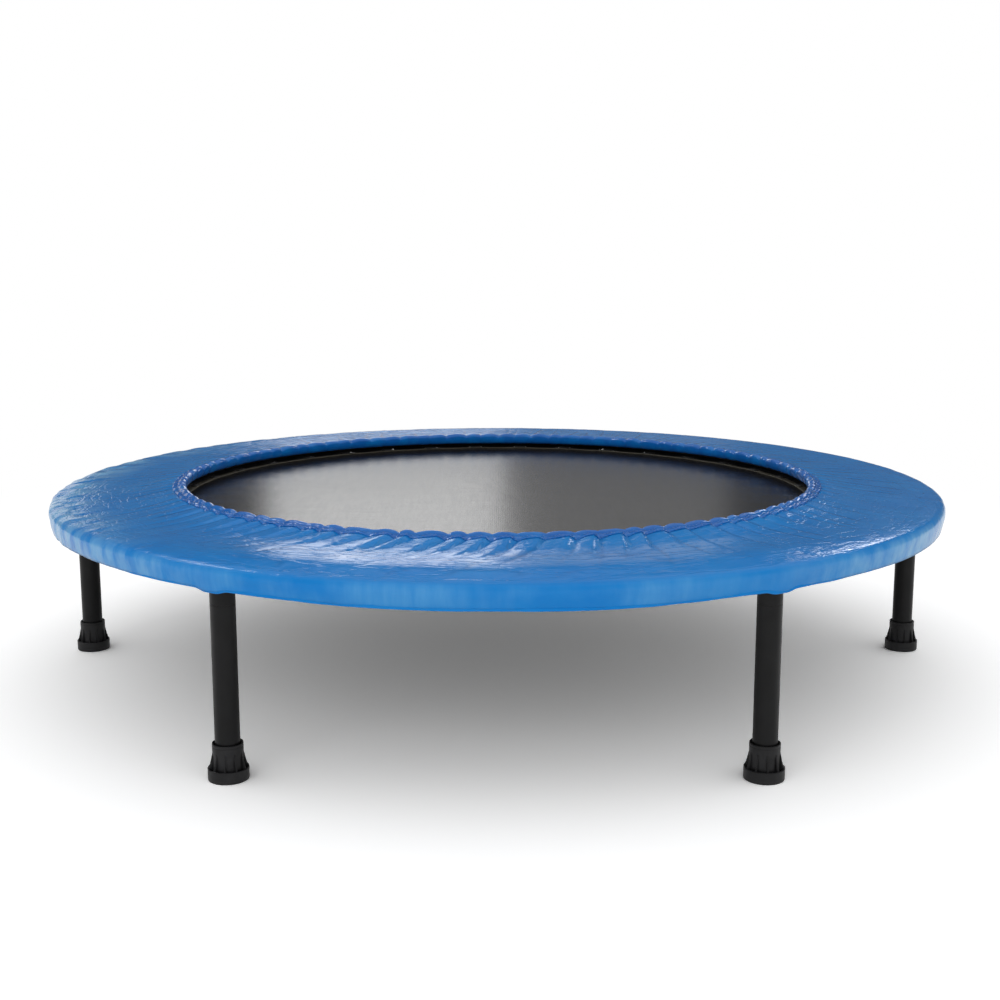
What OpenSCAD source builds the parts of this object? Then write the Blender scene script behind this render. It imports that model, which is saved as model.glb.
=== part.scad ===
// Mini trampoline: a steel ring on six screw-in legs, a woven mat hung on coil
// springs, and a padded cover gathered round the mat's edge.
// Millimetres. Z = 0 is the floor, and the Z axis is the middle of the mat.

/* [Frame ring] */
// Diameter of the ring, measured along the middle of its tube
frame_d = 1060; // [960:10:1200]
// Outer diameter of the ring's tube
ring_tube_d = 25; // [22:0.5:30]
// Wall of the ring's tube
ring_wall = 1.2; // [1:0.1:2]
// Height of the middle of the ring's tube above the floor
frame_h = 205.5; // [160:0.5:300]

/* [Legs] */
// Outer diameter of the leg tubes and of the stubs that they screw into
leg_d = 25; // [22:0.5:28]
// Wall of the leg tubes and of the stubs
leg_wall = 1.2; // [1:0.1:1.8]
// Length of a stub below the ring
stub_drop = 14; // [13:0.5:30]
// Thickness of the washer between stub and leg
washer_t = 1; // [0.6:0.1:2]
// Diameter of the leg bolt
bolt_d = 10; // [8:0.5:12]
// Length of bolt that stands up out of the washer
bolt_grip = 12; // [9:0.5:12.5]
// Thickness of the nut plate in the bottom of a stub
nut_t = 8; // [5:0.5:10]
// Depth of the plug in the top of a leg tube
plug_t = 14; // [8:1:25]

/* [Feet] */
// Height of a rubber foot
foot_h = 37.5; // [32:0.5:60]
// Outer diameter of a foot's sleeve
sleeve_d = 30.8; // [30:0.2:36]
// Plain height of a foot's sleeve, above the gussets
sleeve_h = 10.5; // [6:0.5:15]
// Outer diameter of a foot's base
base_d = 40.8; // [40:0.2:60]
// Thickness of a foot's base
base_t = 12.3; // [10:0.1:16]
// Wall of the upright rim round a foot's base
rim_wall = 1.7; // [1.2:0.1:2]
// Depth of the groove between the base's rim and the sleeve
groove_h = 4.5; // [2:0.5:5]
// Rubber left under the end of the leg tube
sole_t = 6; // [4:0.5:9]
// Number of gussets round a foot
gussets = 10; // [6:1:14]
// Thickness of a gusset
gusset_t = 1.8; // [1:0.1:3]

/* [Mat] */
// Diameter of the mat's fabric
mat_d = 800; // [740:10:860]
// Thickness of the mat's fabric
mat_t = 1; // [0.6:0.1:1.6]
// Height of the mat's mid-plane above the middle of the ring's tube
mat_rise = 3.4; // [0:0.1:5]
// Width of the hem on the mat's edge
hem_w = 8; // [6:0.5:20]
// Thickness of one layer of hem or tab webbing
webbing_t = 1; // [0.6:0.1:1.4]
// Width of a tab that holds a mat ring
tab_w = 16; // [10:0.5:17]
// Length of a tab that is sewn on the hem
tab_sewn = 6; // [4:0.5:7.5]

/* [Mat rings and springs] */
// Number of springs
springs_n = 36; // [24:6:48]
// Wire diameter of the triangular mat rings
ring_wire_d = 2.4; // [2:0.1:3]
// Depth of a mat ring, from its bar to its tip
ring_depth = 13; // [11:0.5:20]
// Half the width of a mat ring, at its corners
ring_half_w = 14; // [13.5:0.5:20]
// Outer diameter of a spring's coils
spring_d = 9; // [7:0.5:10]
// Wire diameter of the springs
spring_wire_d = 1.8; // [1.4:0.1:2]
// Diameter of a spring's end loop, along the middle of its wire
loop_d = 6; // [5.6:0.2:8]
// Diameter of the holes in the frame ring that the springs hook into
hook_hole_d = 4; // [3.8:0.1:5]

/* [Safety pad] */
// Thickness of the foam above the springs
foam_t = 7.6; // [6:0.2:20]
// Thickness of the foam beside the frame ring, at its lower edge
side_foam_t = 3.1; // [2:0.1:12]
// How far the pad's side stands out above its hem, where the foam fills it
side_bulge = 3; // [0:0.5:6]
// Thickness of the cover's sheet
cover_t = 1.2; // [0.8:0.1:2]
// Thickness of the liner under the foam
liner_t = 0.6; // [0.4:0.1:1.2]
// Height of the whole pad's side, hem included
side_h = 31; // [26:0.2:36]
// Number of gathers round the inner rim
gathers = 78; // [60:6:78]
// Width of the gathered rim, across its tube
rim_w = 20; // [16:0.5:22]
// Height of the gathered rim
rim_h = 15; // [12:0.5:18]
// How far the rim reaches in over the mat's edge
rim_overlap = 10.5; // [8:0.5:14]
// Share by which a gather swells past the rim's mean section
rim_swell = 0.1; // [0.02:0.01:0.14]
// Height of the puckers next to the rim
pucker_h = 1.6; // [0.2:0.1:2]
// Diameter of the elastic cord under the rim
rim_cord_d = 3.8; // [2:0.1:4.4]
// Diameter of the elastic cord in the outer hem
hem_cord_d = 1.8; // [1.2:0.1:1.9]

/* [Hidden] */
legs_n = 6;
$fn = 96;

// clearances
weld_gap = 0.05;
press_gap = 0.05;
thread_gap = 0.05;
sheet_gap = 0.1;
seat_gap = 0.3;
pad_gap = 0.5;

// wires
wire_fn = 32;
splice = 0.1;
splice_r = 0.02;
butt_gap = 0.6;

// frame ring and legs
frame_r = frame_d / 2;
ring_r = ring_tube_d / 2;
ring_in_r = ring_r - ring_wall;
leg_r = leg_d / 2;
leg_in_r = leg_r - leg_wall;
stub_z = frame_h - ring_r - stub_drop;
stub_up = ring_r / 2;
leg_top = stub_z - washer_t;
bolt_r = bolt_d / 2;
bolt_head_af = bolt_d * 1.7;
bolt_head_h = bolt_d * 0.64;
washer_rim = 0.4;

// feet
sleeve_r = sleeve_d / 2;
base_r = base_d / 2;
gusset_z = foot_h - sleeve_h;
mouth_h = 3;
mouth_wall = 1.1;
core_inset = 0.5;
recess_r = base_r * 0.62;
recess_h = 1.5;
base_fillet = 1.2;
gusset_inset = 1;
gusset_lip = 0.5;
gusset_sink = 1;
gusset_rise = 3;

// mat, rings and springs
mat_r = mat_d / 2;
mat_z = frame_h + mat_rise;
hem_half = mat_t / 2 + webbing_t;
hem_out_r = mat_r + sheet_gap + webbing_t;
ring_wire_r = ring_wire_d / 2;
ring_bend_r = 2;
tab_in_r = max(hem_half, ring_wire_r + seat_gap);
bar_r = hem_out_r + tab_in_r + ring_wire_r;
tip_r = bar_r + ring_depth;
spring_r = spring_d / 2;
spring_wire_r = spring_wire_d / 2;
spring_bore_r = spring_r - spring_wire_d;
loop_r = loop_d / 2;
loop_x = tip_r + loop_r - spring_wire_r - seat_gap - ring_wire_r;
loop_gap = 50;
neck_l = 4;
coil_x0 = loop_x + loop_r;
hook_wall_x = frame_r - ring_r;
tail_x = frame_r - ring_in_r + seat_gap + spring_wire_r;
hook_bend_r = 2.2;
hook_x = tail_x - hook_bend_r;
hook_tail_l = 2;
coil_x1 = hook_wall_x - seat_gap - spring_wire_r;

// pad: the sheets are stacked up from the tops of the springs
liner_z = mat_z + spring_r + seat_gap + 0.1;
foam_z = liner_z + liner_t;
foam_top = foam_z + foam_t;
cover_in_z = foam_top + pad_gap;
cover_z = cover_in_z + cover_t;
foam_side_r = frame_r + ring_r + sheet_gap + seat_gap + side_foam_t;
cover_in_r = foam_side_r + pad_gap + 0.1;
cover_r = cover_in_r + cover_t;
bulge_r = cover_r + side_bulge;
bulge_in_r = cover_in_r + side_bulge;
foam_bulge_r = foam_side_r + side_bulge;
side_bottom = cover_z - side_h;
hem_h = 4;
wall_bottom = side_bottom + hem_h;
hem_bend = 1.2;
hem_skin = 0.9;
hem_in_r = frame_r + max(ring_r, leg_r) + 1;
foam_bottom = max(wall_bottom, stub_z + stub_drop + stub_up) + seat_gap;
corner_h = 7.5;
corner_w = 18;
shoulder = 0.28;

rim_a = rim_w / 2;
rim_b = rim_h / 2;
rim_r = mat_r - rim_overlap + rim_a;
rim_z = cover_z + 3.1;
rim_out_r = rim_r + rim_a * (1 + rim_swell);
cover_start_r = rim_out_r + pad_gap;
rim_cord_r = rim_cord_d / 2;
rim_cord_z = foam_z + seat_gap + rim_cord_r;
rim_cord_at = cover_start_r - rim_cord_r - 3;
liner_in_r = rim_cord_at - rim_cord_r;
foam_in_r = rim_cord_at + rim_cord_r + seat_gap + 0.5;

leg_ids = [for (i = [1 : legs_n]) i];

// ---- helpers ---------------------------------------------------------------

function unit(v) = v / norm(v);
function leg_angle(i) = (i - 1) * 360 / legs_n;

// puts its children at leg i, on the leg's axis
module at_leg(i) {
    rotate([0, 0, leg_angle(i)]) translate([frame_r, 0, 0]) children();
}

// repeats its children at each spring of the sectors that start at legs first to last
module at_springs(first = 1, last = legs_n) {
    for (i = [first : last], k = [0.5 : springs_n / legs_n])
        rotate([0, 0, leg_angle(i) + k * 360 / springs_n]) translate([0, 0, mat_z]) children();
}

// straight wire between two points of the XY plane, a hair thicker and longer than its
// bends so that the pieces of a wire overlap
module wire_run(p, q, r) {
    turn = atan2(q.y - p.y, q.x - p.x);
    translate([p.x, p.y, 0]) rotate([0, 0, turn]) rotate([0, 90, 0])
        translate([0, 0, -splice]) cylinder(h = norm(q - p) + 2 * splice, r = r + splice_r, $fn = wire_fn);
}

// bent wire in the XY plane, from angle a through sweep degrees
module wire_bend(centre, bend_r, r, a, sweep) {
    translate([centre.x, centre.y, 0]) rotate([0, 0, a])
        rotate_extrude(angle = sweep, $fn = wire_fn) translate([bend_r, 0]) circle(r = r, $fn = wire_fn);
}

// wire bent round corners given counterclockwise, its ends butted in the first side
module wire_frame(corners, bend_r, r) {
    n = len(corners);
    dirs = [for (i = [0 : n - 1]) unit(corners[(i + 1) % n] - corners[i])];
    turns = [for (i = [0 : n - 1]) acos(dirs[(i + n - 1) % n] * dirs[i])];
    cuts = [for (t = turns) bend_r * tan(t / 2)];
    for (i = [0 : n - 1]) {
        j = (i + 1) % n;
        before = dirs[(i + n - 1) % n];
        left = [-before.y, before.x];
        start = corners[i] + dirs[i] * cuts[i];
        end = corners[j] - dirs[i] * cuts[j];
        if (i == 0) {
            end_l = (norm(end - start) - butt_gap) / 2;
            wire_run(start, start + dirs[i] * end_l, r);
            wire_run(end - dirs[i] * end_l, end, r);
        } else {
            wire_run(start, end, r);
        }
        wire_bend(corners[i] - before * cuts[i] + left * bend_r, bend_r, r,
            atan2(-left.y, -left.x), turns[i]);
    }
}

// ---- frame -----------------------------------------------------------------

// hollow ring with a row of holes in its inner wall, one for each spring hook
module frame_ring() {
    color("#2a2a2c")
        difference() {
            translate([0, 0, frame_h]) rotate_extrude() translate([frame_r, 0])
                difference() {
                    circle(r = ring_r);
                    circle(r = ring_in_r);
                }
            at_springs()
                translate([hook_wall_x - 2, 0, 0]) rotate([0, 90, 0])
                    cylinder(h = ring_wall + 4, d = hook_hole_d, $fn = 48);
        }
}

// short tube welded under the ring, its top end cut to the ring's curve
module leg_stub(i) {
    color("#2a2a2c")
        difference() {
            at_leg(i) translate([0, 0, stub_z])
                difference() {
                    cylinder(h = stub_drop + stub_up, r = leg_r);
                    translate([0, 0, -1]) cylinder(h = stub_drop + stub_up + 2, r = leg_in_r);
                }
            translate([0, 0, frame_h]) rotate_extrude()
                translate([frame_r, 0]) circle(r = ring_r + weld_gap);
        }
}

// threaded plates fixed in the stubs' lower ends
module stub_nuts() {
    color("#8d8f92")
        for (i = leg_ids)
            at_leg(i) translate([0, 0, stub_z])
                difference() {
                    cylinder(h = nut_t, r = leg_in_r - press_gap);
                    translate([0, 0, -1]) cylinder(h = nut_t + 2, r = bolt_r + thread_gap);
                }
}

// ---- legs ------------------------------------------------------------------

module leg_washer(i) {
    color("#141415")
        at_leg(i) translate([0, 0, leg_top])
            difference() {
                cylinder(h = washer_t, r = leg_r - washer_rim);
                translate([0, 0, -1]) cylinder(h = washer_t + 2, r = bolt_r + seat_gap);
            }
}

module leg_tube(i) {
    color("#2a2a2c")
        at_leg(i) translate([0, 0, sole_t])
            difference() {
                cylinder(h = leg_top - sole_t, r = leg_r);
                translate([0, 0, -1]) cylinder(h = leg_top - sole_t + 2, r = leg_in_r);
            }
}

// plug in the top of a leg tube, which holds the bolt
module leg_plug(i) {
    color("#1b1b1c")
        at_leg(i) translate([0, 0, leg_top - plug_t])
            difference() {
                cylinder(h = plug_t, r = leg_in_r - press_gap);
                translate([0, 0, -1]) cylinder(h = plug_t + 2, r = bolt_r + press_gap);
            }
}

// bolt with its head under the plug and its shank up through the washer
module leg_bolt(i) {
    shank = plug_t + washer_t + bolt_grip;
    tip = 1;
    color("#b9bbbd")
        at_leg(i) translate([0, 0, leg_top - plug_t]) {
            translate([0, 0, -bolt_head_h])
                cylinder(h = bolt_head_h, d = bolt_head_af / cos(30), $fn = 6);
            cylinder(h = shank - tip, r = bolt_r);
            translate([0, 0, shank - tip]) cylinder(h = tip, r1 = bolt_r, r2 = bolt_r - tip);
        }
}

// half section of a foot without its gussets, R against Z
module foot_section() {
    bore_r = leg_r + press_gap;
    mouth_r = max(bore_r, sleeve_r - mouth_wall);
    core_r = sleeve_r - core_inset;
    polygon([
        [0, recess_h],
        [recess_r, recess_h],
        [recess_r, 0],
        [base_r - base_fillet, 0],
        [base_r, base_fillet],
        [base_r, base_t - base_fillet / 2],
        [base_r - base_fillet / 2, base_t],
        [base_r - rim_wall, base_t],
        [base_r - rim_wall, base_t - groove_h],
        [core_r, base_t - groove_h],
        [core_r, gusset_z - core_inset],
        [sleeve_r, gusset_z],
        [sleeve_r, foot_h],
        [mouth_r, foot_h],
        [bore_r, foot_h - mouth_h],
        [bore_r, sole_t],
        [0, sole_t]
    ]);
}

// upright fin from the groove and rim of the base to a little way up the sleeve's wall
module gusset() {
    root = (leg_r + press_gap + sleeve_r - core_inset) / 2;
    rim = base_r - gusset_inset;
    foot = base_t - groove_h - gusset_sink;
    rotate([90, 0, 0]) translate([0, 0, -gusset_t / 2])
        linear_extrude(height = gusset_t)
            polygon([
                [root, foot],
                [rim, foot],
                [rim, base_t + gusset_lip],
                [sleeve_r - core_inset, gusset_z + gusset_rise],
                [root, gusset_z + gusset_rise]
            ]);
}

module foot(i) {
    color("#202022")
        at_leg(i) {
            rotate_extrude() foot_section();
            for (k = [0 : gussets - 1]) rotate([0, 0, (k + 0.5) * 360 / gussets]) gusset();
        }
}

// ---- mat and springs -------------------------------------------------------

module mat() {
    color("#5b5d60")
        translate([0, 0, mat_z - mat_t / 2]) cylinder(h = mat_t, r = mat_r, $fn = 180);
}

// webbing folded round the edge of the mat
module mat_hem() {
    color("#3a3a36")
        translate([0, 0, mat_z]) rotate_extrude()
            difference() {
                translate([mat_r - hem_w, -hem_half]) square([hem_out_r - mat_r + hem_w, 2 * hem_half]);
                translate([mat_r - hem_w - 1, -mat_t / 2]) square([hem_w + 1 + sheet_gap, mat_t]);
            }
}

// webbing loops sewn over the hem, one round the bar of each mat ring
module mat_tabs() {
    out = tab_in_r + webbing_t;
    start = mat_r - tab_sewn;
    color("#26262a")
        at_springs()
            rotate([90, 0, 0]) translate([0, 0, -tab_w / 2])
                linear_extrude(height = tab_w)
                    difference() {
                        union() {
                            translate([bar_r, 0]) circle(r = out);
                            translate([start, -out]) square([bar_r - start, 2 * out]);
                        }
                        translate([bar_r, 0]) circle(r = tab_in_r);
                        translate([start - 1, -tab_in_r]) square([bar_r - start + 1, 2 * tab_in_r]);
                    }
}

// triangular rings of bent wire, bar inwards and tip outwards
module mat_rings() {
    half_tip = atan2(ring_half_w, ring_depth);
    corner_x = tip_r + ring_bend_r / sin(half_tip) - ring_bend_r;
    color("#c4c6c8")
        at_springs()
            wire_frame([[bar_r, ring_half_w], [bar_r, -ring_half_w], [corner_x, 0]],
                ring_bend_r, ring_wire_r);
}

// half section of a closed-wound coil that narrows to its end wires
module coil_section() {
    neck_r = spring_wire_r;
    polygon([
        [0, coil_x0],
        [neck_r, coil_x0],
        [spring_r, coil_x0 + neck_l],
        [spring_r, coil_x1 - neck_l],
        [neck_r, coil_x1],
        [0, coil_x1],
        [0, coil_x1 - spring_wire_d],
        [spring_bore_r, coil_x1 - neck_l - spring_wire_r],
        [spring_bore_r, coil_x0 + neck_l + spring_wire_r],
        [0, coil_x0 + spring_wire_d]
    ]);
}

// spring along +X: a loop on the mat ring's tip, a coil, and a hook in the frame ring
module spring() {
    rotate([0, 90, 0]) rotate_extrude() coil_section();
    rotate([90, 0, 0]) {
        wire_bend([loop_x, 0], loop_r, spring_wire_r, -20, 360 - loop_gap);
        wire_run([coil_x1 - 0.5, 0], [hook_x, 0], spring_wire_r);
        wire_bend([hook_x, -hook_bend_r], hook_bend_r, spring_wire_r, 0, 90);
        wire_run([tail_x, -hook_bend_r], [tail_x, -hook_bend_r - hook_tail_l], spring_wire_r);
    }
}

// the springs between leg i and the next leg
module springs(i) {
    color("#d0d2d4") at_springs(i, i) spring();
}

// ---- safety pad ------------------------------------------------------------

// foam ring over the springs and round the outside of the frame ring
module pad_foam() {
    color("#e8e4d6")
        rotate_extrude()
            difference() {
                polygon([
                    [foam_in_r, foam_z],
                    [frame_r, foam_z],
                    [frame_r, foam_bottom],
                    [foam_side_r, foam_bottom],
                    [foam_bulge_r, foam_top - corner_h + 0.6],
                    [foam_bulge_r - corner_w * shoulder, foam_top - corner_h * shoulder],
                    [foam_bulge_r - corner_w, foam_top],
                    [foam_in_r, foam_top]
                ]);
                translate([frame_r, frame_h]) circle(r = ring_r + sheet_gap + seat_gap);
            }
}

// thin sheet between the foam and the springs
module pad_liner() {
    reach = ring_r + seat_gap;
    rise = liner_z - frame_h;
    out_r = rise < reach ? frame_r - sqrt(reach * reach - rise * rise) : frame_r;
    color("#1c1d1f")
        translate([0, 0, liner_z])
            difference() {
                cylinder(h = liner_t, r = out_r, $fn = 180);
                translate([0, 0, -1]) cylinder(h = liner_t + 2, r = liner_in_r, $fn = 180);
            }
}

// A ring of points is [count, radius, height, pucker], and a pucker lifts every other point.
function ring_points(ring) = [
    for (i = [0 : ring[0] - 1])
        let (a = i * 360 / ring[0])
            [ring[1] * cos(a), ring[1] * sin(a), ring[2] + ring[3] * cos(gathers * a)]
];

function first_of(rings, k) = k == 0 ? 0 : first_of(rings, k - 1) + rings[k - 1][0];

// triangles between two rings of equal counts, or one of twice the other's count
function band(a, n, b, m) =
    n == m ? [for (i = [0 : n - 1]) let (j = (i + 1) % n)
        each [[a + i, b + i, a + j], [a + j, b + i, b + j]]]
    : n > m ? [for (i = [0 : m - 1]) let (j = (i + 1) % m)
        each [[a + 2 * i, b + i, a + 2 * i + 1],
              [a + 2 * i + 1, b + i, b + j],
              [a + 2 * i + 1, b + j, a + (2 * i + 2) % n]]]
    : [for (i = [0 : n - 1]) let (j = (i + 1) % n)
        each [[a + i, b + 2 * i, b + 2 * i + 1],
              [a + i, b + 2 * i + 1, a + j],
              [a + j, b + 2 * i + 1, b + (2 * i + 2) % m]]];

// closed skin over rings of points, the last joined to the first
module ring_skin(rings) {
    n = len(rings);
    points = [for (r = rings) each ring_points(r)];
    faces = [for (k = [0 : n - 1]) let (j = (k + 1) % n)
        each band(first_of(rings, k), rings[k][0], first_of(rings, j), rings[j][0])];
    polyhedron(points = points, faces = faces, convexity = 6);
}

// outer sheet: puckered beside the rim, smooth outwards, then round the corner and down
module pad_cover() {
    fine = 2 * gathers;
    color("#3572b4")
        ring_skin([
            [fine, cover_start_r, cover_z + 1.6, pucker_h * 0.5],
            [fine, cover_start_r + 9, cover_z + 3.2, pucker_h],
            [fine, cover_start_r + 26, cover_z + 1.1, pucker_h * 0.6],
            [gathers, cover_start_r + 62, cover_z + 0.3, 0],
            [gathers, bulge_r - corner_w, cover_z, 0],
            [gathers, bulge_r - corner_w * shoulder, cover_z - corner_h * shoulder, 0],
            [gathers, bulge_r, cover_z - corner_h, 0],
            [gathers, cover_r, wall_bottom, 0],
            [gathers, cover_in_r, wall_bottom, 0],
            [gathers, bulge_in_r, cover_in_z - corner_h, 0],
            [gathers, bulge_in_r - corner_w * shoulder, cover_in_z - corner_h * shoulder, 0],
            [gathers, bulge_in_r - corner_w, cover_in_z, 0],
            [gathers, cover_start_r, cover_in_z, 0]
        ]);
}

// inner rim: fabric drawn up on its elastic into a row of gathers
module pad_rim() {
    sides = 7;
    fine = 2 * gathers;
    swell = [for (i = [0 : fine - 1]) 1 + rim_swell * cos(180 * i)];
    points = [
        for (k = [0 : sides - 1], i = [0 : fine - 1])
            let (
                a = i * 360 / fine,
                s = (k + 0.5) * 360 / sides,
                r = rim_r + rim_a * swell[i] * cos(s)
            )
                [r * cos(a), r * sin(a), rim_z + rim_b * swell[i] * sin(s)]
    ];
    faces = [
        for (k = [0 : sides - 1])
            each band(k * fine, fine, ((k + 1) % sides) * fine, fine)
    ];
    color("#2a5d99")
        polyhedron(points = points, faces = [for (f = faces) [f[2], f[1], f[0]]], convexity = 6);
}

// hem along the pad's lower edge, folded inwards round its elastic cord
module pad_hem() {
    top = wall_bottom - sheet_gap;
    inner_top = top - 0.4;
    color("#2a5d99")
        rotate_extrude()
            polygon([
                [cover_r, top],
                [cover_r, side_bottom + hem_bend],
                [cover_r - hem_bend, side_bottom],
                [hem_in_r + hem_bend, side_bottom],
                [hem_in_r, side_bottom + hem_bend],
                [hem_in_r, inner_top],
                [hem_in_r + hem_skin, inner_top],
                [hem_in_r + hem_skin, side_bottom + hem_skin + hem_bend / 2],
                [hem_in_r + hem_skin + hem_bend / 2, side_bottom + hem_skin],
                [cover_r - hem_skin - hem_bend / 2, side_bottom + hem_skin],
                [cover_r - hem_skin, side_bottom + hem_skin + hem_bend / 2],
                [cover_r - hem_skin, top]
            ]);
}

module cord_ring(at_r, z, r) {
    translate([0, 0, z]) rotate_extrude() translate([at_r, 0]) circle(r = r);
}

module rim_cord() {
    color("#2b2b2d") cord_ring(rim_cord_at, rim_cord_z, rim_cord_r);
}

module hem_cord() {
    r = hem_cord_d / 2;
    color("#2b2b2d")
        cord_ring(hem_in_r + hem_skin + seat_gap + r, side_bottom + hem_skin + seat_gap + r, r);
}

// ---- nodes -----------------------------------------------------------------

frame_ring();
stub_nuts();
mat();
mat_hem();
mat_tabs();
mat_rings();
pad_foam();
pad_liner();
pad_cover();
pad_rim();
pad_hem();
rim_cord();
hem_cord();
for (i = leg_ids) {
    springs(i);
    leg_stub(i);
    leg_washer(i);
    leg_tube(i);
    leg_plug(i);
    leg_bolt(i);
    foot(i);
}
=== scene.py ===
import math

import bmesh
import bpy
import numpy as np
from bpy.props import FloatProperty, FloatVectorProperty, IntProperty, PointerProperty
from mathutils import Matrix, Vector


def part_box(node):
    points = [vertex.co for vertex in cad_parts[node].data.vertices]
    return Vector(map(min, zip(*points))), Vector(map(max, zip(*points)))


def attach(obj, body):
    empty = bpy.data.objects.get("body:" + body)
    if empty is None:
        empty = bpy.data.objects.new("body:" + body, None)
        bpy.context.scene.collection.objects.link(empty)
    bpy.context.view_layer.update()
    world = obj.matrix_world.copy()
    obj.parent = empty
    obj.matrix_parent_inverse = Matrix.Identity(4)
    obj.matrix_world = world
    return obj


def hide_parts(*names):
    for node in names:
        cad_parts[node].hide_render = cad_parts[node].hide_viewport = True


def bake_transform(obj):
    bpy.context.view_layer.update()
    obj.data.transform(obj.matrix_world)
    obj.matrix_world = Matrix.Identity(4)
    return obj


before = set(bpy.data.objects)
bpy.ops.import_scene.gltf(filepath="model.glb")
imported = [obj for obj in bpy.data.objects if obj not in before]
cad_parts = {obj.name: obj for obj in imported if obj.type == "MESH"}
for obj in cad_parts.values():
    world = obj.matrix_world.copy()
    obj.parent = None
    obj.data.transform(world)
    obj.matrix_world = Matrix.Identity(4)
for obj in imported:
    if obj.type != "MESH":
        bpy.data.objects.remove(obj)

bl_info = {
    "name": "Mini Trampoline",
    "version": (1, 0, 0),
    "blender": (4, 5, 0),
    "location": "3D View > Sidebar > Trampoline",
    "description": "Builds a round fitness trampoline with its gathered pad, sprung mat and screwed legs",
    "category": "Add Mesh",
}

# ---- the frame's own sizes -------------------------------------------------------------

MM = 0.001
TURN = 2 * math.pi
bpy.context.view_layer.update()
LEGS = 6
SPRINGS = 36

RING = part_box("frame_ring")
LEG_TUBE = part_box("leg_tube_1")
TUBE_R = (RING[1].z - RING[0].z) / 2
LEG_R = (LEG_TUBE[1].x - LEG_TUBE[0].x) / 2
# Radius of the ring's centre line, on which the legs stand too
RING_R = (RING[1].x + LEG_TUBE[0].x) / 2 + TUBE_R / 2 - LEG_R / 2
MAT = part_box("mat")
MAT_R = MAT[1].x
MAT_T = MAT[1].z - MAT[0].z
MAT_Z = (MAT[0].z + MAT[1].z) / 2
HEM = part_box("mat_hem")
WIRE_R = 1.2 * MM
RING_REACH = 13 * MM
# Radius on which the bars of the mat's wire rings lie, just off the hem
WIRE_BAR_R = HEM[1].x + 1.5 * MM + WIRE_R
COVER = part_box("pad_cover")
HEM_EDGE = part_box("pad_hem")
HEM_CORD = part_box("hem_cord")
SIDE_R = HEM_EDGE[1].y
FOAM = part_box("pad_foam")
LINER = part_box("pad_liner")
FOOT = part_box("foot_1")
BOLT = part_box("leg_bolt_1")
# Half the angle between two springs, by which the first lies off the X axis
HALF_PITCH = TURN / SPRINGS / 2
# Radii between which the springs' pull shows in the mat
PULLED = (0.30, 0.392)
# Radius near which the springs hang on the mat's rings
SPRING_IN = 0.418
# Thickness of the pad's sheet
SKIN = 0.9 * MM


# ---- shapes -----------------------------------------------------------------------------


def angles(count, start=0.0):
    """Angles of a full turn's columns."""
    return start + np.arange(count) * TURN / count


def ease(value, low, high):
    """Smooth step from 0 at low to 1 at high."""
    x = np.clip((np.asarray(value, dtype=float) - low) / (high - low), 0, 1)
    return x * x * (3 - 2 * x)


def hump(value, low, high, soft):
    """1 between low and high, falling smoothly to 0 over soft on both sides."""
    return ease(value, low - soft, low) * (1 - ease(value, high, high + soft))


def bell(value, width, power=2):
    """1 at 0, falling off smoothly past so much on both sides."""
    return np.exp(-(value / width) ** power)


def ripples(seed, around, along, angle, reach):
    """Smooth noise from -1 to 1, with so many cells in a turn and across the reach from 0 to 1."""
    table = np.random.default_rng(seed).uniform(-1, 1, (along + 2, around))
    a = np.mod(angle / TURN, 1.0) * around
    b = np.clip(reach, 0, 1) * along
    i, j = np.floor(a).astype(int) % around, np.floor(b).astype(int)
    u, v = ease(a - np.floor(a), 0, 1), ease(b - j, 0, 1)
    near = table[j, i] * (1 - u) + table[j, (i + 1) % around] * u
    far = table[j + 1, i] * (1 - u) + table[j + 1, (i + 1) % around] * u
    return near * (1 - v) + far * v


def run_along(line):
    """Distance along a line at each of its points."""
    return np.concatenate([[0], np.cumsum(np.linalg.norm(np.diff(line, axis=0), axis=1))])


def smooth_line(points, count):
    """Evenly spaced points on a smooth open curve through the given ones."""
    p = np.array(points, dtype=float)
    p = np.vstack([2 * p[0] - p[1], p, 2 * p[-1] - p[-2]])
    t = np.linspace(0, 1, 24, endpoint=False)[:, None]
    parts = []
    for a, b, c, d in zip(p, p[1:], p[2:], p[3:]):
        parts.append(0.5 * (2 * b + (c - a) * t + (2 * a - 5 * b + 4 * c - d) * t ** 2
                            + (3 * b - a - 3 * c + d) * t ** 3))
    line = np.vstack(parts + [p[-2:-1]])
    run = run_along(line)
    at = np.linspace(0, run[-1], count)
    return np.column_stack([np.interp(at, run, line[:, k]) for k in range(line.shape[1])])


def sideways(profile):
    """Unit normals to the left of an open profile's points."""
    along = np.gradient(profile, axis=0)
    along /= np.linalg.norm(along, axis=1)[:, None]
    return np.column_stack([-along[:, 1], along[:, 0]])


def turned(radius, height, angle):
    """Points of a grid of radii and heights swept round the Z axis."""
    radius, height, angle = np.broadcast_arrays(radius, height, angle)
    return np.stack([radius * np.cos(angle), radius * np.sin(angle), height], axis=-1).reshape(-1, 3)


def grid(rows, columns, loop_rows=True):
    """Quads of a grid of points, closed along its columns, and along its rows as asked."""
    r = np.arange(rows if loop_rows else rows - 1)[:, None]
    c = np.arange(columns)[None, :]
    r2, c2 = (r + 1) % rows, (c + 1) % columns
    quads = np.stack([r * columns + c, r * columns + c2, r2 * columns + c2, r2 * columns + c], axis=-1)
    return quads.reshape(-1, 4)


def capped(rows, sides):
    """Faces of a grid that is open along its rows, with a flat face at each end."""
    ends = [list(range(sides))[::-1], [(rows - 1) * sides + k for k in range(sides)]]
    return grid(rows, sides, loop_rows=False).tolist() + ends


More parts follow.
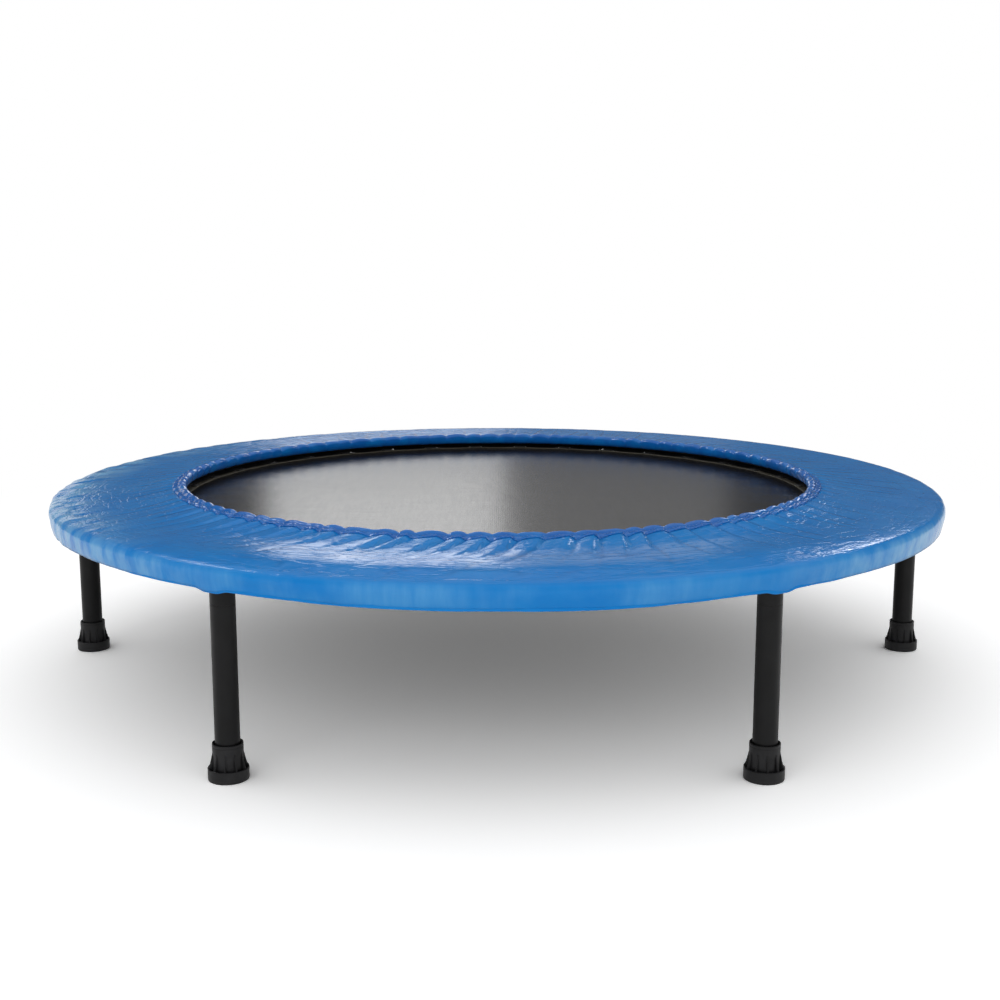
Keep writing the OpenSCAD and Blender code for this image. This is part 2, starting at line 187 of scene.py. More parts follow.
def grid_uv(lengths, widths, lean=0.0):
    """Fabric coordinates in metres of a closed grid's corners: along the turn and across it."""
    u = np.asarray(lengths)[None, :] + np.zeros((len(widths), 1)) + lean
    v = np.asarray(widths)[:, None] + np.zeros(u.shape)
    at = np.stack([u, v], axis=-1)
    return np.stack([at[:-1, :-1], at[:-1, 1:], at[1:, 1:], at[1:, :-1]], axis=2).reshape(-1, 2)


def make_mesh(name, points, faces, uv=None):
    """Mesh from points and faces, merged where they meet, with its faces turned outwards."""
    mesh = bpy.data.meshes.new(name)
    mesh.from_pydata([tuple(p) for p in np.asarray(points).tolist()], [], np.asarray(faces).tolist()
                     if not isinstance(faces, list) else faces)
    if uv is not None:
        layer = mesh.uv_layers.new(name="fabric")
        layer.data.foreach_set("uv", np.asarray(uv, dtype=float).ravel())
    shape = bmesh.new()
    shape.from_mesh(mesh)
    bmesh.ops.remove_doubles(shape, verts=shape.verts, dist=1e-7)
    bmesh.ops.recalc_face_normals(shape, faces=shape.faces)
    shape.to_mesh(mesh)
    shape.free()
    mesh.shade_smooth()
    return mesh


def add_piece(name, mesh, finish, body, slot, *nodes):
    """Object of one piece with its finish, on its body if one is named, standing for the nodes."""
    mesh.materials.clear()
    mesh.materials.append(finish)
    piece = bpy.data.objects.new(name, mesh)
    bpy.context.scene.collection.objects.link(piece)
    if body:
        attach(piece, body)
    if nodes:
        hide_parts(*nodes)
    return piece


def lathe(profile, count, centre=(0.0, 0.0)):
    """Points and faces of a closed profile of radii and heights, turned about an upright axis."""
    p = np.array(profile)
    return turned(p[:, :1], p[:, 1:], angles(count)) + [*centre, 0], grid(len(p), count)


def rounded(corners, radius, steps=3):
    """Closed outline with each corner cut by a short arc."""
    p = [np.array(c, dtype=float) for c in corners]
    out = []
    for i, corner in enumerate(p):
        before, after = p[i - 1] - corner, p[(i + 1) % len(p)] - corner
        a, b = np.linalg.norm(before), np.linalg.norm(after)
        cut = min(radius, a * 0.45, b * 0.45)
        start, end = corner + before / a * cut, corner + after / b * cut
        for t in np.linspace(0, 1, steps + 1):
            out.append(start * (1 - t) ** 2 + corner * 2 * t * (1 - t) + end * t ** 2)
    return np.array(out)


def tube(path, radius, sides, closed=False):
    """Points and faces of a round wire along a path, with flat ends where it is open."""
    path = np.array(path, dtype=float)
    count = len(path)
    if closed:
        along = np.roll(path, -1, axis=0) - np.roll(path, 1, axis=0)
    else:
        along = np.gradient(path, axis=0)
    along /= np.linalg.norm(along, axis=1)[:, None]
    side = np.cross(along[0], (0, 0, 1) if abs(along[0][2]) < 0.9 else (1, 0, 0))
    rings = []
    for t, centre in zip(along, path):
        side = side - t * np.dot(side, t)
        side /= np.linalg.norm(side)
        up = np.cross(t, side)
        turn = angles(sides)[:, None]
        rings.append(centre + radius * (np.cos(turn) * side + np.sin(turn) * up))
    return np.vstack(rings), grid(count, sides).tolist() if closed else capped(count, sides)


def joined(parts):
    """One set of points and faces from several."""
    points, faces, first = [], [], 0
    for p, f in parts:
        points.append(np.asarray(p))
        faces.extend([[first + k for k in face] for face in np.asarray(f, dtype=object).tolist()])
        first += len(p)
    return np.vstack(points), faces


def turned_copy(points, angle):
    """Points turned about the Z axis."""
    c, s = math.cos(angle), math.sin(angle)
    return np.asarray(points) @ np.array([[c, s, 0], [-s, c, 0], [0, 0, 1]])


# ---- copies along a path ---------------------------------------------------------------


def copies_tree():
    """Geometry Nodes that set copies of an item along a closed path, X along it and Z up."""
    name = "Copies along a path"
    if name in bpy.data.node_groups:
        return bpy.data.node_groups[name]
    tree = bpy.data.node_groups.new(name, "GeometryNodeTree")
    sockets = (("Path", "Geometry"), ("Item", "Object"), ("Count", "Int"), ("Finish", "Material"))
    for label, kind in sockets:
        tree.interface.new_socket(label, in_out="INPUT", socket_type=f"NodeSocket{kind}")
    tree.interface.new_socket("Copies", in_out="OUTPUT", socket_type="NodeSocketGeometry")
    add = tree.nodes.new
    given, result = add("NodeGroupInput"), add("NodeGroupOutput")
    curve, spaced = add("GeometryNodeMeshToCurve"), add("GeometryNodeResampleCurve")
    item, tangent = add("GeometryNodeObjectInfo"), add("GeometryNodeInputTangent")
    align = add("FunctionNodeAlignRotationToVector")
    align.axis, align.pivot_axis = "X", "Z"
    place, real = add("GeometryNodeInstanceOnPoints"), add("GeometryNodeRealizeInstances")
    finish = add("GeometryNodeSetMaterial")
    links = (
        (given.outputs["Path"], curve.inputs["Mesh"]),
        (curve.outputs["Curve"], spaced.inputs["Curve"]),
        (given.outputs["Count"], spaced.inputs["Count"]),
        (spaced.outputs["Curve"], place.inputs["Points"]),
        (given.outputs["Item"], item.inputs["Object"]),
        (item.outputs["Geometry"], place.inputs["Instance"]),
        (tangent.outputs["Tangent"], align.inputs["Vector"]),
        (align.outputs["Rotation"], place.inputs["Rotation"]),
        (place.outputs["Instances"], real.inputs["Geometry"]),
        (real.outputs["Geometry"], finish.inputs["Geometry"]),
        (given.outputs["Finish"], finish.inputs["Material"]),
        (finish.outputs["Geometry"], result.inputs["Copies"]),
    )
    for start, end in links:
        tree.links.new(start, end)
    return tree


def copies(path, item, count, finish):
    """Plain mesh of an item's copies along a closed path of points."""
    rail_mesh = bpy.data.meshes.new("rail")
    rail_mesh.from_pydata([tuple(p) for p in np.asarray(path).tolist()],
                          [(k, (k + 1) % len(path)) for k in range(len(path))], [])
    rail = bpy.data.objects.new("rail", rail_mesh)
    item_piece = bpy.data.objects.new("item", item)
    for piece in (rail, item_piece):
        bpy.context.scene.collection.objects.link(piece)
    tree = copies_tree()
    modifier = rail.modifiers.new("Copies", "NODES")
    modifier.node_group = tree
    socket = {s.name: s.identifier for s in tree.interface.items_tree if s.in_out == "INPUT"}
    modifier[socket["Item"]] = item_piece
    modifier[socket["Count"]] = count
    modifier[socket["Finish"]] = finish
    graph = bpy.context.evaluated_depsgraph_get()
    mesh = bpy.data.meshes.new_from_object(rail.evaluated_get(graph), depsgraph=graph)
    for piece in (rail, item_piece):
        bpy.data.objects.remove(piece)
    if not mesh.polygons:
        raise RuntimeError("the copies along a path came out empty")
    mesh.shade_smooth()
    return mesh


def circle_path(radius, height, count=360, start=0.0, centre=(0.0, 0.0)):
    """Points of a level circle."""
    return turned(radius, height, angles(count, start)) + [*centre, 0]


def stitch_item(length, width, height):
    """One stitch of thread: a short bead, flat below."""
    rows, sides = 7, 8
    t = np.linspace(-1, 1, rows)
    swell = np.sqrt(np.clip(1 - t ** 4, 0.02, 1))
    turn = angles(sides)
    points = [(t[i] * length / 2, math.cos(a) * swell[i] * width / 2, math.sin(a) * swell[i] * height / 2)
              for i in range(rows) for a in turn]
    return make_mesh("stitch", points, capped(rows, sides))


# ---- settings ---------------------------------------------------------------------------


def colour(name, about, value):
    return FloatVectorProperty(name=name, description=about, subtype="COLOR", size=3, min=0, max=1,
                               default=value)


def length(name, about, value):
    return FloatProperty(name=name, description=about, unit="LENGTH", subtype="DISTANCE", min=0,
                         default=value)


def amount(name, about, value):
    return FloatProperty(name=name, description=about, min=0, default=value)


class PadSettings(bpy.types.PropertyGroup):
    outer_r: length("Outer radius", "Radius of the pad's lower edge", SIDE_R)
    gathers: IntProperty(name="Gathers", description="Folds drawn up round the inner rim",
                         default=96, min=12, max=160)
    columns: IntProperty(name="Columns per gather", description="Fineness of the pad's skin",
                         default=16, min=6, max=20)
    gather_h: length("Gather height", "Rise of the rim between two gathers", 3.2 * MM)
    lip_h: length("Lip at the legs", "How far the side reaches down where it passes a leg", 3.2 * MM)
    vinyl: colour("Vinyl", "Colour of the coated sheet", (0.004, 0.160, 0.480))
    # Deeper blue of the casing; at three tenths of it, also the painted shade in the cover's creases
    casing_blue_and_crease_shade: colour("Casing blue and crease shade", "Colour where the sheet is gathered", (0.003, 0.098, 0.375))
    # Colour of the painted sheen on the upright side, standing in for reflected light
    painted_wall_sheen: colour("Painted wall sheen", "Colour of the painted sheen on the upright side", (0.070, 0.275, 0.550))
    # Colour of the painted sheen at the pad's left and right ends
    painted_side_sheen: colour("Painted side sheen", "Colour of the painted sheen at the left and right", (0.190, 0.400, 0.600))


class MatSettings(bpy.types.PropertyGroup):
    radius: length("Radius", "Radius of the jumping mat", MAT_R)
    tape: length("Tape width", "Width of the woven tapes", 1.1 * MM)
    fabric: colour("Fabric", "Colour of the woven mat", (0.0085, 0.0085, 0.0095))
    webbing: colour("Webbing", "Colour of the hem and the tabs", (0.016, 0.015, 0.014))
    hem: colour("Hem", "Colour of the mat's edge binding", (0.060, 0.052, 0.034))


class SteelSettings(bpy.types.PropertyGroup):
    wire: colour("Wire", "Colour of springs and rings", (0.55, 0.56, 0.57))
    paint: colour("Powder coat", "Colour of the ring and the legs", (0.0042, 0.0042, 0.0045))
    coil_r: length("Coil radius", "Outer radius of a spring", 4.5 * MM)
    wire_r: length("Wire radius", "Radius of a spring's wire", 0.9 * MM)


class FootSettings(bpy.types.PropertyGroup):
    fins: IntProperty(name="Fins", description="Fins round a foot", default=10, min=3, max=24)
    rubber: colour("Rubber", "Colour of the moulded feet", (0.0072, 0.0072, 0.0080))


class StageSettings(bpy.types.PropertyGroup):
    low_light: amount("Low light", "Strength of the dome near the horizon", 1.15)
    high_light: amount("High light", "Strength of the dome overhead", 0.85)
    fill: amount("Front light", "Power of the soft front light, in watts", 30.0)
    backdrop: amount("Backdrop", "Grey that the gloss shows near the horizon", 0.12)
    camera_at: FloatVectorProperty(name="Camera", description="Place of the camera",
                                   subtype="TRANSLATION", size=3, default=(0.0036, -1.7715, 0.51495))
    camera_down: FloatProperty(name="Camera tilt", description="How far the camera looks down",
                               subtype="ANGLE", default=0.1773)
    lens: FloatProperty(name="Lens", description="Focal length in millimetres", default=50.24)


# ---- finishes ---------------------------------------------------------------------------


def toned(base, share):
    """Colour made darker or lighter by a share."""
    return [c * share for c in base]


class Nodes:
    """A node tree with helpers that add nodes and feed their inputs."""

    def __init__(self, tree):
        self.tree = tree

    def link(self, start, end):
        self.tree.links.new(start, end)

    def add(self, kind, given=None, **facts):
        node = self.tree.nodes.new(kind)
        for label, value in facts.items():
            setattr(node, label, value)
        for label, value in (given or {}).items():
            if isinstance(value, bpy.types.NodeSocket):
                self.link(value, node.inputs[label])
            else:
                node.inputs[label].default_value = value
        return node

    def maths(self, operation, a, b=0.0):
        return self.add("ShaderNodeMath", {0: a, 1: b}, operation=operation).outputs[0]

    def times(self, a, b):
        return self.maths("MULTIPLY", a, b)

    def spread(self, value, low, high, to_low=0.0, to_high=1.0):
        return self.add("ShaderNodeMapRange", {"Value": value, "From Min": low, "From Max": high,
                                               "To Min": to_low, "To Max": to_high}).outputs["Result"]

    def seen(self):
        """1 for rays from the camera and those that gloss or glass send on, 0 for all others."""
        rays = self.add("ShaderNodeLightPath")
        gloss = self.maths("MAXIMUM", rays.outputs["Is Camera Ray"], rays.outputs["Is Glossy Ray"])
        return self.maths("MAXIMUM", gloss, rays.outputs["Is Transmission Ray"])


class Finish(Nodes):
    """A material with helpers for its colour, roughness and relief."""

    def __init__(self, name, base, roughness, **sockets):
        self.material = bpy.data.materials.new(name)
        self.material.use_nodes = True
        super().__init__(self.material.node_tree)
        self.shader = self.tree.nodes["Principled BSDF"]
        self.set("Base Color", (*base[:3], 1.0))
        self.set("Roughness", roughness)
        for label, value in sockets.items():
            self.set(label.replace("_", " "), value)
        self.relief = None
        self.coords = self.add("ShaderNodeTexCoord").outputs["Object"]

    def set(self, label, value):
        self.shader.inputs[label].default_value = value

    def fabric_coords(self):
        """Patterns from here on follow the sheet's own length and width."""
        self.coords = self.add("ShaderNodeUVMap", uv_map="fabric").outputs["UV"]

    def noise(self, scale, detail, stretch=(1, 1, 1)):
        at = self.coords
        if stretch != (1, 1, 1):
            at = self.add("ShaderNodeMapping", {"Vector": at, "Scale": stretch}).outputs["Vector"]
        return self.add("ShaderNodeTexNoise", {"Vector": at, "Scale": scale, "Detail": detail,
                                               "Roughness": 0.55}).outputs["Fac"]

    def patches(self, scale, detail, low, high, to_low=0.0, to_high=1.0, stretch=(1, 1, 1)):
        """Noise whose values from low to high are spread over another range."""
        return self.spread(self.noise(scale, detail, stretch), low, high, to_low, to_high)

    def bands(self, scale, direction):
        return self.add("ShaderNodeTexWave", {"Vector": self.coords, "Scale": scale, "Distortion": 0.0},
                        bands_direction=direction).outputs["Fac"]

    def mixed(self, factor, a, b):
        a, b = (c if isinstance(c, bpy.types.NodeSocket) else (*c[:3], 1.0) for c in (a, b))
        return self.add("ShaderNodeMix", {0: factor, 6: a, 7: b}, data_type="RGBA").outputs[2]

    def colour(self, value):
        self.link(value, self.shader.inputs["Base Color"])

    def rough(self, value):
        self.link(value, self.shader.inputs["Roughness"])

    def bump(self, height, depth, strength=1.0):
        """Adds relief of so many metres."""
        node = self.add("ShaderNodeBump", {"Height": height, "Distance": depth, "Strength": strength})
        if self.relief:
            self.link(self.relief, node.inputs["Normal"])
        self.relief = node.outputs["Normal"]
        self.link(self.relief, self.shader.inputs["Normal"])

    def surface(self, shader):
        self.link(shader, self.tree.nodes["Material Output"].inputs["Surface"])

    def glow(self, strength):
        """Makes the finish shine by itself."""
        self.surface(self.add("ShaderNodeEmission", {"Strength": strength}).outputs["Emission"])


def sheet_creases(f, scale, stretch, width):
    """1 on the fine creases of a coated sheet, 0 between them."""
    off = f.maths("ABSOLUTE", f.maths("SUBTRACT", f.noise(scale, 3, stretch), 0.5))
    return f.spread(off, 0.0, width, 1.0, 0.0)


def vinyl_finish(pad, side_end=None):
    """Coated sheet: smooth blue film with fine creases and a painted sheen of lighter cloudy patches; where
    its side's length is given, also painted sheen on the upright side and at the left and right, and painted
    shade in the creases.
    """
    f = Finish("pad_vinyl", pad.vinyl, 0.2, Specular_IOR_Level=0.17)
    # Painted sheen: lighter, whiter cloudy patches all over the sheet
    clouds = f.patches(16, 4, 0.35, 0.68)
    shade = f.mixed(clouds, pad.vinyl, [c * k for c, k in zip(pad.vinyl, (1.6, 1.12, 1.04))])
    # Where the painted sheen goes: the pad's left and right ends, by its place along X
    sideways_at = f.add("ShaderNodeSeparateXYZ", {"Vector": f.coords}).outputs["X"]
    at_sides = f.spread(f.maths("ABSOLUTE", sideways_at), 0.26, 0.46)
    at_left = f.spread(sideways_at, -0.34, -0.50)
    f.rough(f.patches(38, 5, 0.3, 0.72, 0.14, 0.24))
    f.bump(f.noise(1100, 2), 0.04 * MM, 0.4)
    f.fabric_coords()
    if side_end:
        # Painted sheen: lighter streaky patches on the upright side, for the reflection of the bright floor
        # and the front light
        across = f.add("ShaderNodeSeparateXYZ", {"Vector": f.coords}).outputs["Y"]
        upper = f.spread(across, side_end - 28 * MM, side_end - 19 * MM)
        lower = f.spread(across, side_end - 6 * MM, side_end + 1 * MM, 1.0, 0.35)
        patches = f.patches(9, 4, 0.40, 0.58, stretch=(1, 0.8, 1))
        strokes = f.patches(45, 4, 0.3, 0.7, 0.35, 1.0, (3.0, 0.4, 1))
        painted_wall_sheen = f.times(f.times(upper, lower), f.times(patches, strokes))
        shade = f.mixed(f.times(painted_wall_sheen, 0.8), shade, pad.painted_wall_sheen)
        outer = f.spread(across, side_end - 95 * MM, side_end - 50 * MM)
        # Painted sheen: a whitish wash on the upright side at both ends and on the outer top at the left
        side_sheen = f.patches(30, 5, 0.38, 0.60, 0.0, 0.75, (1.4, 0.8, 1))
        where = f.maths("MAXIMUM", f.times(at_sides, upper), f.times(at_left, outer))
        shade = f.mixed(f.times(side_sheen, where), shade, pad.painted_side_sheen)
        # Painted shade: along the fold attribute the creases are darkened towards three tenths of the casing
        # blue
        crease_shade = f.add("ShaderNodeAttribute", attribute_name="fold").outputs["Fac"]
        shade = f.mixed(f.times(crease_shade, 0.8), shade, toned(pad.casing_blue_and_crease_shade, 0.3))
        fold = f.times(sheet_creases(f, 34, (0.45, 1.5, 1), 0.05), f.spread(upper, 0, 1, 1.0, 0.15))
        f.bump(fold, -0.3 * MM, 0.7)
    f.colour(shade)
    f.bump(f.noise(60, 4, (1.6, 0.7, 1)), 0.08 * MM, 0.6)
    f.bump(sheet_creases(f, 80, (0.8, 1.3, 1), 0.04), -0.08 * MM, 0.6)
    return f.material


def casing_finish(pad):
    """The gathered casing: deeper blue, shirred by close small creases."""
    f = Finish("pad_casing", pad.casing_blue_and_crease_shade, 0.2, Specular_IOR_Level=0.36)
    f.colour(f.mixed(f.patches(40, 4, 0.45, 0.8), pad.casing_blue_and_crease_shade, pad.vinyl))
    f.rough(f.patches(60, 4, 0.3, 0.7, 0.13, 0.26))
    f.fabric_coords()
    f.bump(f.noise(110, 4, (3, 1, 1)), 0.3 * MM, 0.6)
    return f.material


def thread_finish(name, base):
    """Twisted sewing thread."""
    f = Finish(name, base, 0.55, Sheen_Weight=0.3)
    f.colour(f.mixed(f.noise(900, 2), toned(base, 0.7), base))
    f.bump(f.bands(1400, "DIAGONAL"), 0.08 * MM)
    return f.material


def woven_finish(name, base, tape, roughness, relief, streak=0.35, **sockets):
    """Woven tapes or yarns, crossing along X and Y, with faint streaks along both."""
    f = Finish(name, base, roughness, **sockets)
    pitch = math.pi / (10 * tape) * 0.5
    weave = f.maths("MAXIMUM", f.bands(pitch, "X"), f.bands(pitch, "Y"))
    both = f.maths("ADD", f.noise(22, 4, (1, 14, 1)), f.noise(22, 4, (14, 1, 1)))
    streaks = f.spread(both, 0.8, 1.2)
    lit = [min(1.0, c * (1 + streak)) for c in base]
    f.colour(f.mixed(f.times(weave, streaks), toned(base, 1 - streak), lit))
    f.rough(f.spread(streaks, 0, 1, roughness - 0.05 * streak, roughness + 0.1 * streak))
    f.bump(weave, relief)
    f.bump(f.noise(650, 2), relief * 0.7, 0.3)
    return f.material


def elastic_finish(name):
    """Dark braided elastic."""
    return woven_finish(name, (0.020, 0.018, 0.016), 0.7 * MM, 0.8, 0.1 * MM)


def foam_finish():
    """Pale open foam with fine cells."""
    f = Finish("pad_foam", (0.80, 0.77, 0.66), 0.9)
    cells = f.add("ShaderNodeTexVoronoi", {"Vector": f.coords, "Scale": 900.0}).outputs["Distance"]
    f.colour(f.mixed(f.noise(30, 4), (0.74, 0.70, 0.58), (0.86, 0.84, 0.74)))
    f.bump(cells, 0.35 * MM, 0.8)
    return f.material


def powder_finish(name, base, roughness):
    """Powder coat on steel: satin black with a fine orange peel and dusty clouds."""
    f = Finish(name, base, roughness, Specular_IOR_Level=0.22)
    f.colour(f.mixed(f.patches(45, 4, 0.35, 0.75), base, toned(base, 1.5)))
    f.rough(f.patches(60, 4, 0.3, 0.7, roughness - 0.05, roughness + 0.08))
    f.bump(f.noise(1100, 2), 0.05 * MM, 0.6)
    f.bump(f.noise(14, 2, (1, 1, 0.1)), 0.25 * MM, 0.3)
    return f.material


def wire_finish(name, base, roughness):
    """Bright drawn or plated wire, dulled in patches."""
    f = Finish(name, base, roughness, Metallic=1.0)
    f.colour(f.mixed(f.patches(160, 4, 0.4, 0.75), base, toned(base, 0.55)))
    f.rough(f.patches(220, 3, 0.3, 0.7, roughness - 0.06, roughness + 0.14))
    f.bump(f.noise(1500, 2), 0.02 * MM, 0.5)
    return f.material


def moulded_finish(name, base, roughness, grain=0.06):
    """Moulded rubber or plastic with a fine grain and rubbed places."""
    f = Finish(name, base, roughness, Specular_IOR_Level=0.35)
    f.colour(f.mixed(f.patches(70, 4, 0.4, 0.8), base, toned(base, 1.9)))
    f.rough(f.patches(90, 4, 0.3, 0.7, roughness - 0.07, roughness + 0.1))
    f.bump(f.noise(1300, 3), grain * MM, 0.7)
    return f.material


# ---- the pad ----------------------------------------------------------------------------

# Level of the flat of the pad's top, and of the upper end of its side
PAD_TOP = COVER[1].z - 3.2 * MM - 1.6 * MM
SIDE_TOP = PAD_TOP - 8 * MM
# How far the cloth of the lower edge is drawn up, away from the front
EDGE_UP = 2.2 * MM
# Outer face of the pad's sheet from the rim outwards: radius inwards from the hem, height over the top
COVER_LINE = (
    (144.5, 4.8), (141.0, 5.9), (137.0, 5.8), (130.0, 4.9), (120.0, 3.5), (108.0, 2.2), (94.0, 1.2),
    (78.0, 0.5), (46.0, 0.1), (26.0, -0.1), (13.0, -0.5), (6.0, -1.2), (1.4, -2.7), (-1.4, -5.2),
    (-2.7, -8.6), (-2.9, -12.5), (-2.2, -18.0),
)
COVER_IN = COVER_LINE[0][0] * MM
# Crown of the front of the pad: distance inwards from the hem, extra height
CROWN = ((-2.9, 0.0), (-1.4, -1.0), (1.4, -2.1), (6, -2.2), (12, -1.5), (18, -0.4), (25, 1.1), (32, 2.2),
         (42, 2.9), (56, 3.2), (84, 2.0), (108, 0.0))
# Section of the gathered casing, closed: radius inwards from the hem, height over the pad's top
RIM_LINE = (
    (156.9, 2.6), (157.0, 7.2), (154.6, 9.9), (151.6, 10.6), (148.6, 9.6), (146.6, 8.4), (144.8, 7.8),
    (142.9, 7.3), (141.4, 6.5), (142.4, 5.2), (145.0, 3.6), (147.5, -0.5), (149.5, -3.4), (152.0, -3.6),
    (155.2, -1.2),
)
# The rim lies lower at the back: degrees round the pad, sink in millimetres
RIM_SINK = ((0, 0.8), (45, 2.2), (90, 3.2), (135, 2.2), (180, 0.5), (225, -0.6), (270, -0.9), (315, -0.6),
            (360, 0.8))
# Zigzag seam of the casing: radius inwards from the hem of its groove and of the ridge beside it
GROOVE_IN, RIDGE_IN = 147.0, 143.4
# Which way the folds lean as they run outwards: degrees round the pad, sideways run for each metre
SWAY = ((0, -0.6), (60, 0.2), (120, -0.4), (185, 0.7), (215, 0.3), (238, -0.5), (262, -0.62), (285, -0.5),
        (305, 0.0), (335, -0.5), (360, -0.6))
# Where the corner is crumpled most: degrees round the pad, share of the full height
CRUMPLED = ((0, 0.25), (30, 0.1), (120, 0.3), (160, 0.8), (180, 1.0), (205, 0.7), (225, 0.1), (250, 0.3),
            (290, 0.2), (330, 0.1), (360, 0.25))


def round_the_pad(angle, table):
    """Value of a table of degrees and values at an angle."""
    degrees, values = np.array(table).T
    return np.interp(np.mod(np.degrees(angle), 360), degrees, values)


def cusps(pad):
    """Angles of the rim's gathers, a little uneven."""
    rng = np.random.default_rng(11)
    steps = np.arange(pad.gathers) + rng.uniform(-0.2, 0.2, pad.gathers)
    return steps * TURN / pad.gathers


def gather_count(angle, at):
    """Number of the gather and how far along it an angle lies, from 0 at its cusp to 1 at the next."""
    wrapped = np.concatenate([[at[-1] - TURN], at, [at[0] + TURN]])
    a = np.mod(angle - wrapped[0], TURN) + wrapped[0]
    k = np.clip(np.searchsorted(wrapped, a) - 1, 0, len(wrapped) - 2)
    return k, np.clip((a - wrapped[k]) / (wrapped[k + 1] - wrapped[k]), 0, 1)


def lobes(angle, at, sharp=0.62):
    """Bulge of the cloth between two gathers: 0 at each cusp, 1 in between."""
    return np.sin(math.pi * gather_count(angle, at)[1]) ** sharp


def leaning_lobes(angle, at):
    """Bulge that rises over most of a gather and falls steeply to its end, from -0.5 to 0.5."""
    along = gather_count(angle, at)[1]
    return np.minimum(along / 0.74, 1 - ease(along, 0.74, 1.0)) - 0.5


def zigzag(angle, at):
    """Zigzag from -1 to 1, two to a gather."""
    along = gather_count(angle, at)[1]
    return 4 * np.abs(np.mod(2 * along, 1.0) - 0.5) - 1


def front_share(angle, reach):
    """1 at the front of the pad, falling to 0 past so many degrees to either side."""
    front = np.abs(np.mod(angle + math.pi / 2 + math.pi, TURN) - math.pi)
    return bell(front, math.radians(reach), 4)


def lower_edge(angle, pad):
    """Drop of the pad's lower edge: a lip at each leg, a sag between the front ones, a slow wave."""
    sector = TURN / LEGS
    near = np.abs(np.mod(angle + sector / 2, sector) - sector / 2) * pad.outer_r
    sag = 2.9 * MM * front_share(angle, 21)
    return pad.lip_h * bell(near, 15 * MM, 4) + sag + 0.6 * MM * ripples(31, 24, 1, angle, 0)


def creases(seed, around, along, angle, reach, width):
    """Narrow valleys along wandering lines: 1 on a line, 0 between them."""
    return bell(ripples(seed, around, along, angle, reach), width)


def valleys(pad, angle, out, shift, seed, deep, reach, wide):
    """Narrow valleys that run outwards from the rim, one to a gather: their depth, and the share of painted
    shade along their bottoms. They start so far along each gather, and depth, reach and half width have
    lowest and highest values in millimetres."""
    rng = np.random.default_rng(seed)
    at = cusps(pad) + (shift + rng.uniform(-0.12, 0.12, pad.gathers)) * TURN / pad.gathers
    deep, reach, wide = (rng.uniform(*limits, pad.gathers) * MM for limits in (deep, reach, wide))
    stray = rng.uniform(-0.12, 0.12, pad.gathers)
    radius = pad.outer_r - COVER_IN + out
    index = np.round(angle / TURN * pad.gathers).astype(int)
    depth, valley_shade = 0, 0
    for step in range(-4, 5):
        k = (index + step) % pad.gathers
        lean = (round_the_pad(at[k], SWAY) + stray[k]) * out / pad.outer_r
        away = np.mod(angle - at[k] - lean + math.pi, TURN) - math.pi
        spread = wide[k] * (1 + 0.5 * out / reach[k])
        fade = 1 - ease(out, reach[k] * 0.6, reach[k])
        fold = bell(away * radius, spread) - 0.4 * bell(away * radius, 2.4 * spread)
        depth = depth + deep[k] * fold * fade
        valley_shade = valley_shade + deep[k] / (0.7 * MM) * fade * bell(away * radius, 0.55 * spread)
    return depth, valley_shade


def cover_lift(pad, angle, out, down):
    """Height of the cover's folds over its smooth shape, out metres from the rim and down its side, and the
    share of painted shade along its creases."""
    share = out / COVER_IN
    at = cusps(pad)
    swirl = angle - round_the_pad(angle, SWAY) * out / pad.outer_r
    top = 1 - ease(out, 122 * MM, 140 * MM)
    front = front_share(angle, 52)
    each = 0.8 + 0.4 * ripples(7, pad.gathers, 1, swirl, 0)
    fingers = (lobes(swirl, at, 1.0) - 0.55) * each
    lift = 0.9 * MM * fingers * bell(out, 16 * MM)
    lift = lift + 0.5 * MM * fingers * bell(out, 56 * MM)
    lift = lift + 3.4 * MM * front * leaning_lobes(swirl, at) * each * bell(out, 50 * MM)
    main, main_valley_shade = valleys(pad, angle, out, 0.0, 12, (0.2, 0.75), (60, 135), (1.8, 3.0))
    fine, fine_valley_shade = valleys(pad, angle, out, 0.5, 13, (0.1, 0.5), (50, 140), (1.4, 2.4))
    lift = lift - main - fine * ease(out, 10 * MM, 30 * MM) * (1 - 0.8 * front)
    inwards = (COVER_IN - out) / MM
    lift = lift + MM * np.interp(inwards, *np.array(CROWN).T) * front_share(angle, 38)
    strength = 0.6 + 0.4 * ripples(6, 14, 2, angle, share)
    lift = lift + 0.5 * MM * ripples(23, 44, 2, swirl, share) * hump(out, 35 * MM, 118 * MM, 20 * MM)
    slack = creases(28, 60, 8, swirl + 0.02 * ripples(29, 60, 4, angle, share), share, 0.14)
    slack = slack * hump(out, 60 * MM, 124 * MM, 14 * MM) * strength * (0.25 + 0.75 * front)
    lift = lift - 0.32 * MM * slack
    corner = hump(out, 118 * MM, 146 * MM, 10 * MM)
    crumple = 1.3 * ripples(24, 220, 6, swirl, share) - 1.2 * creases(25, 180, 5, swirl, share, 0.14)
    lift = lift + 0.8 * MM * round_the_pad(angle, CRUMPLED) * corner * crumple
    side = ease(down, 2 * MM, 9 * MM)
    lift = lift + side * (0.16 * MM * ripples(26, 250, 2, angle, down / (24 * MM))
                          + 0.7 * MM * ripples(27, 60, 2, angle, down / (24 * MM)))
    # Share of painted shade along the creases: the bottoms of the valleys and the slack creases
    fine_valley_shade = 0.7 * fine_valley_shade * ease(out, 10 * MM, 30 * MM) * (1 - 0.8 * front)
    crease_shade = 0.8 * main_valley_shade * (1 - 0.4 * front) + fine_valley_shade
    crease_shade = (crease_shade + 0.35 * slack * front) * top * ease(out, 2 * MM, 8 * MM)
    return lift, np.clip(crease_shade, 0, 1)


def rim_sink(angle, out=0.0):
    """How much lower the rim lies than at the sides, fading outwards over the sheet."""
    return MM * round_the_pad(angle, RIM_SINK) * (1 - ease(out, 4 * MM, 64 * MM))


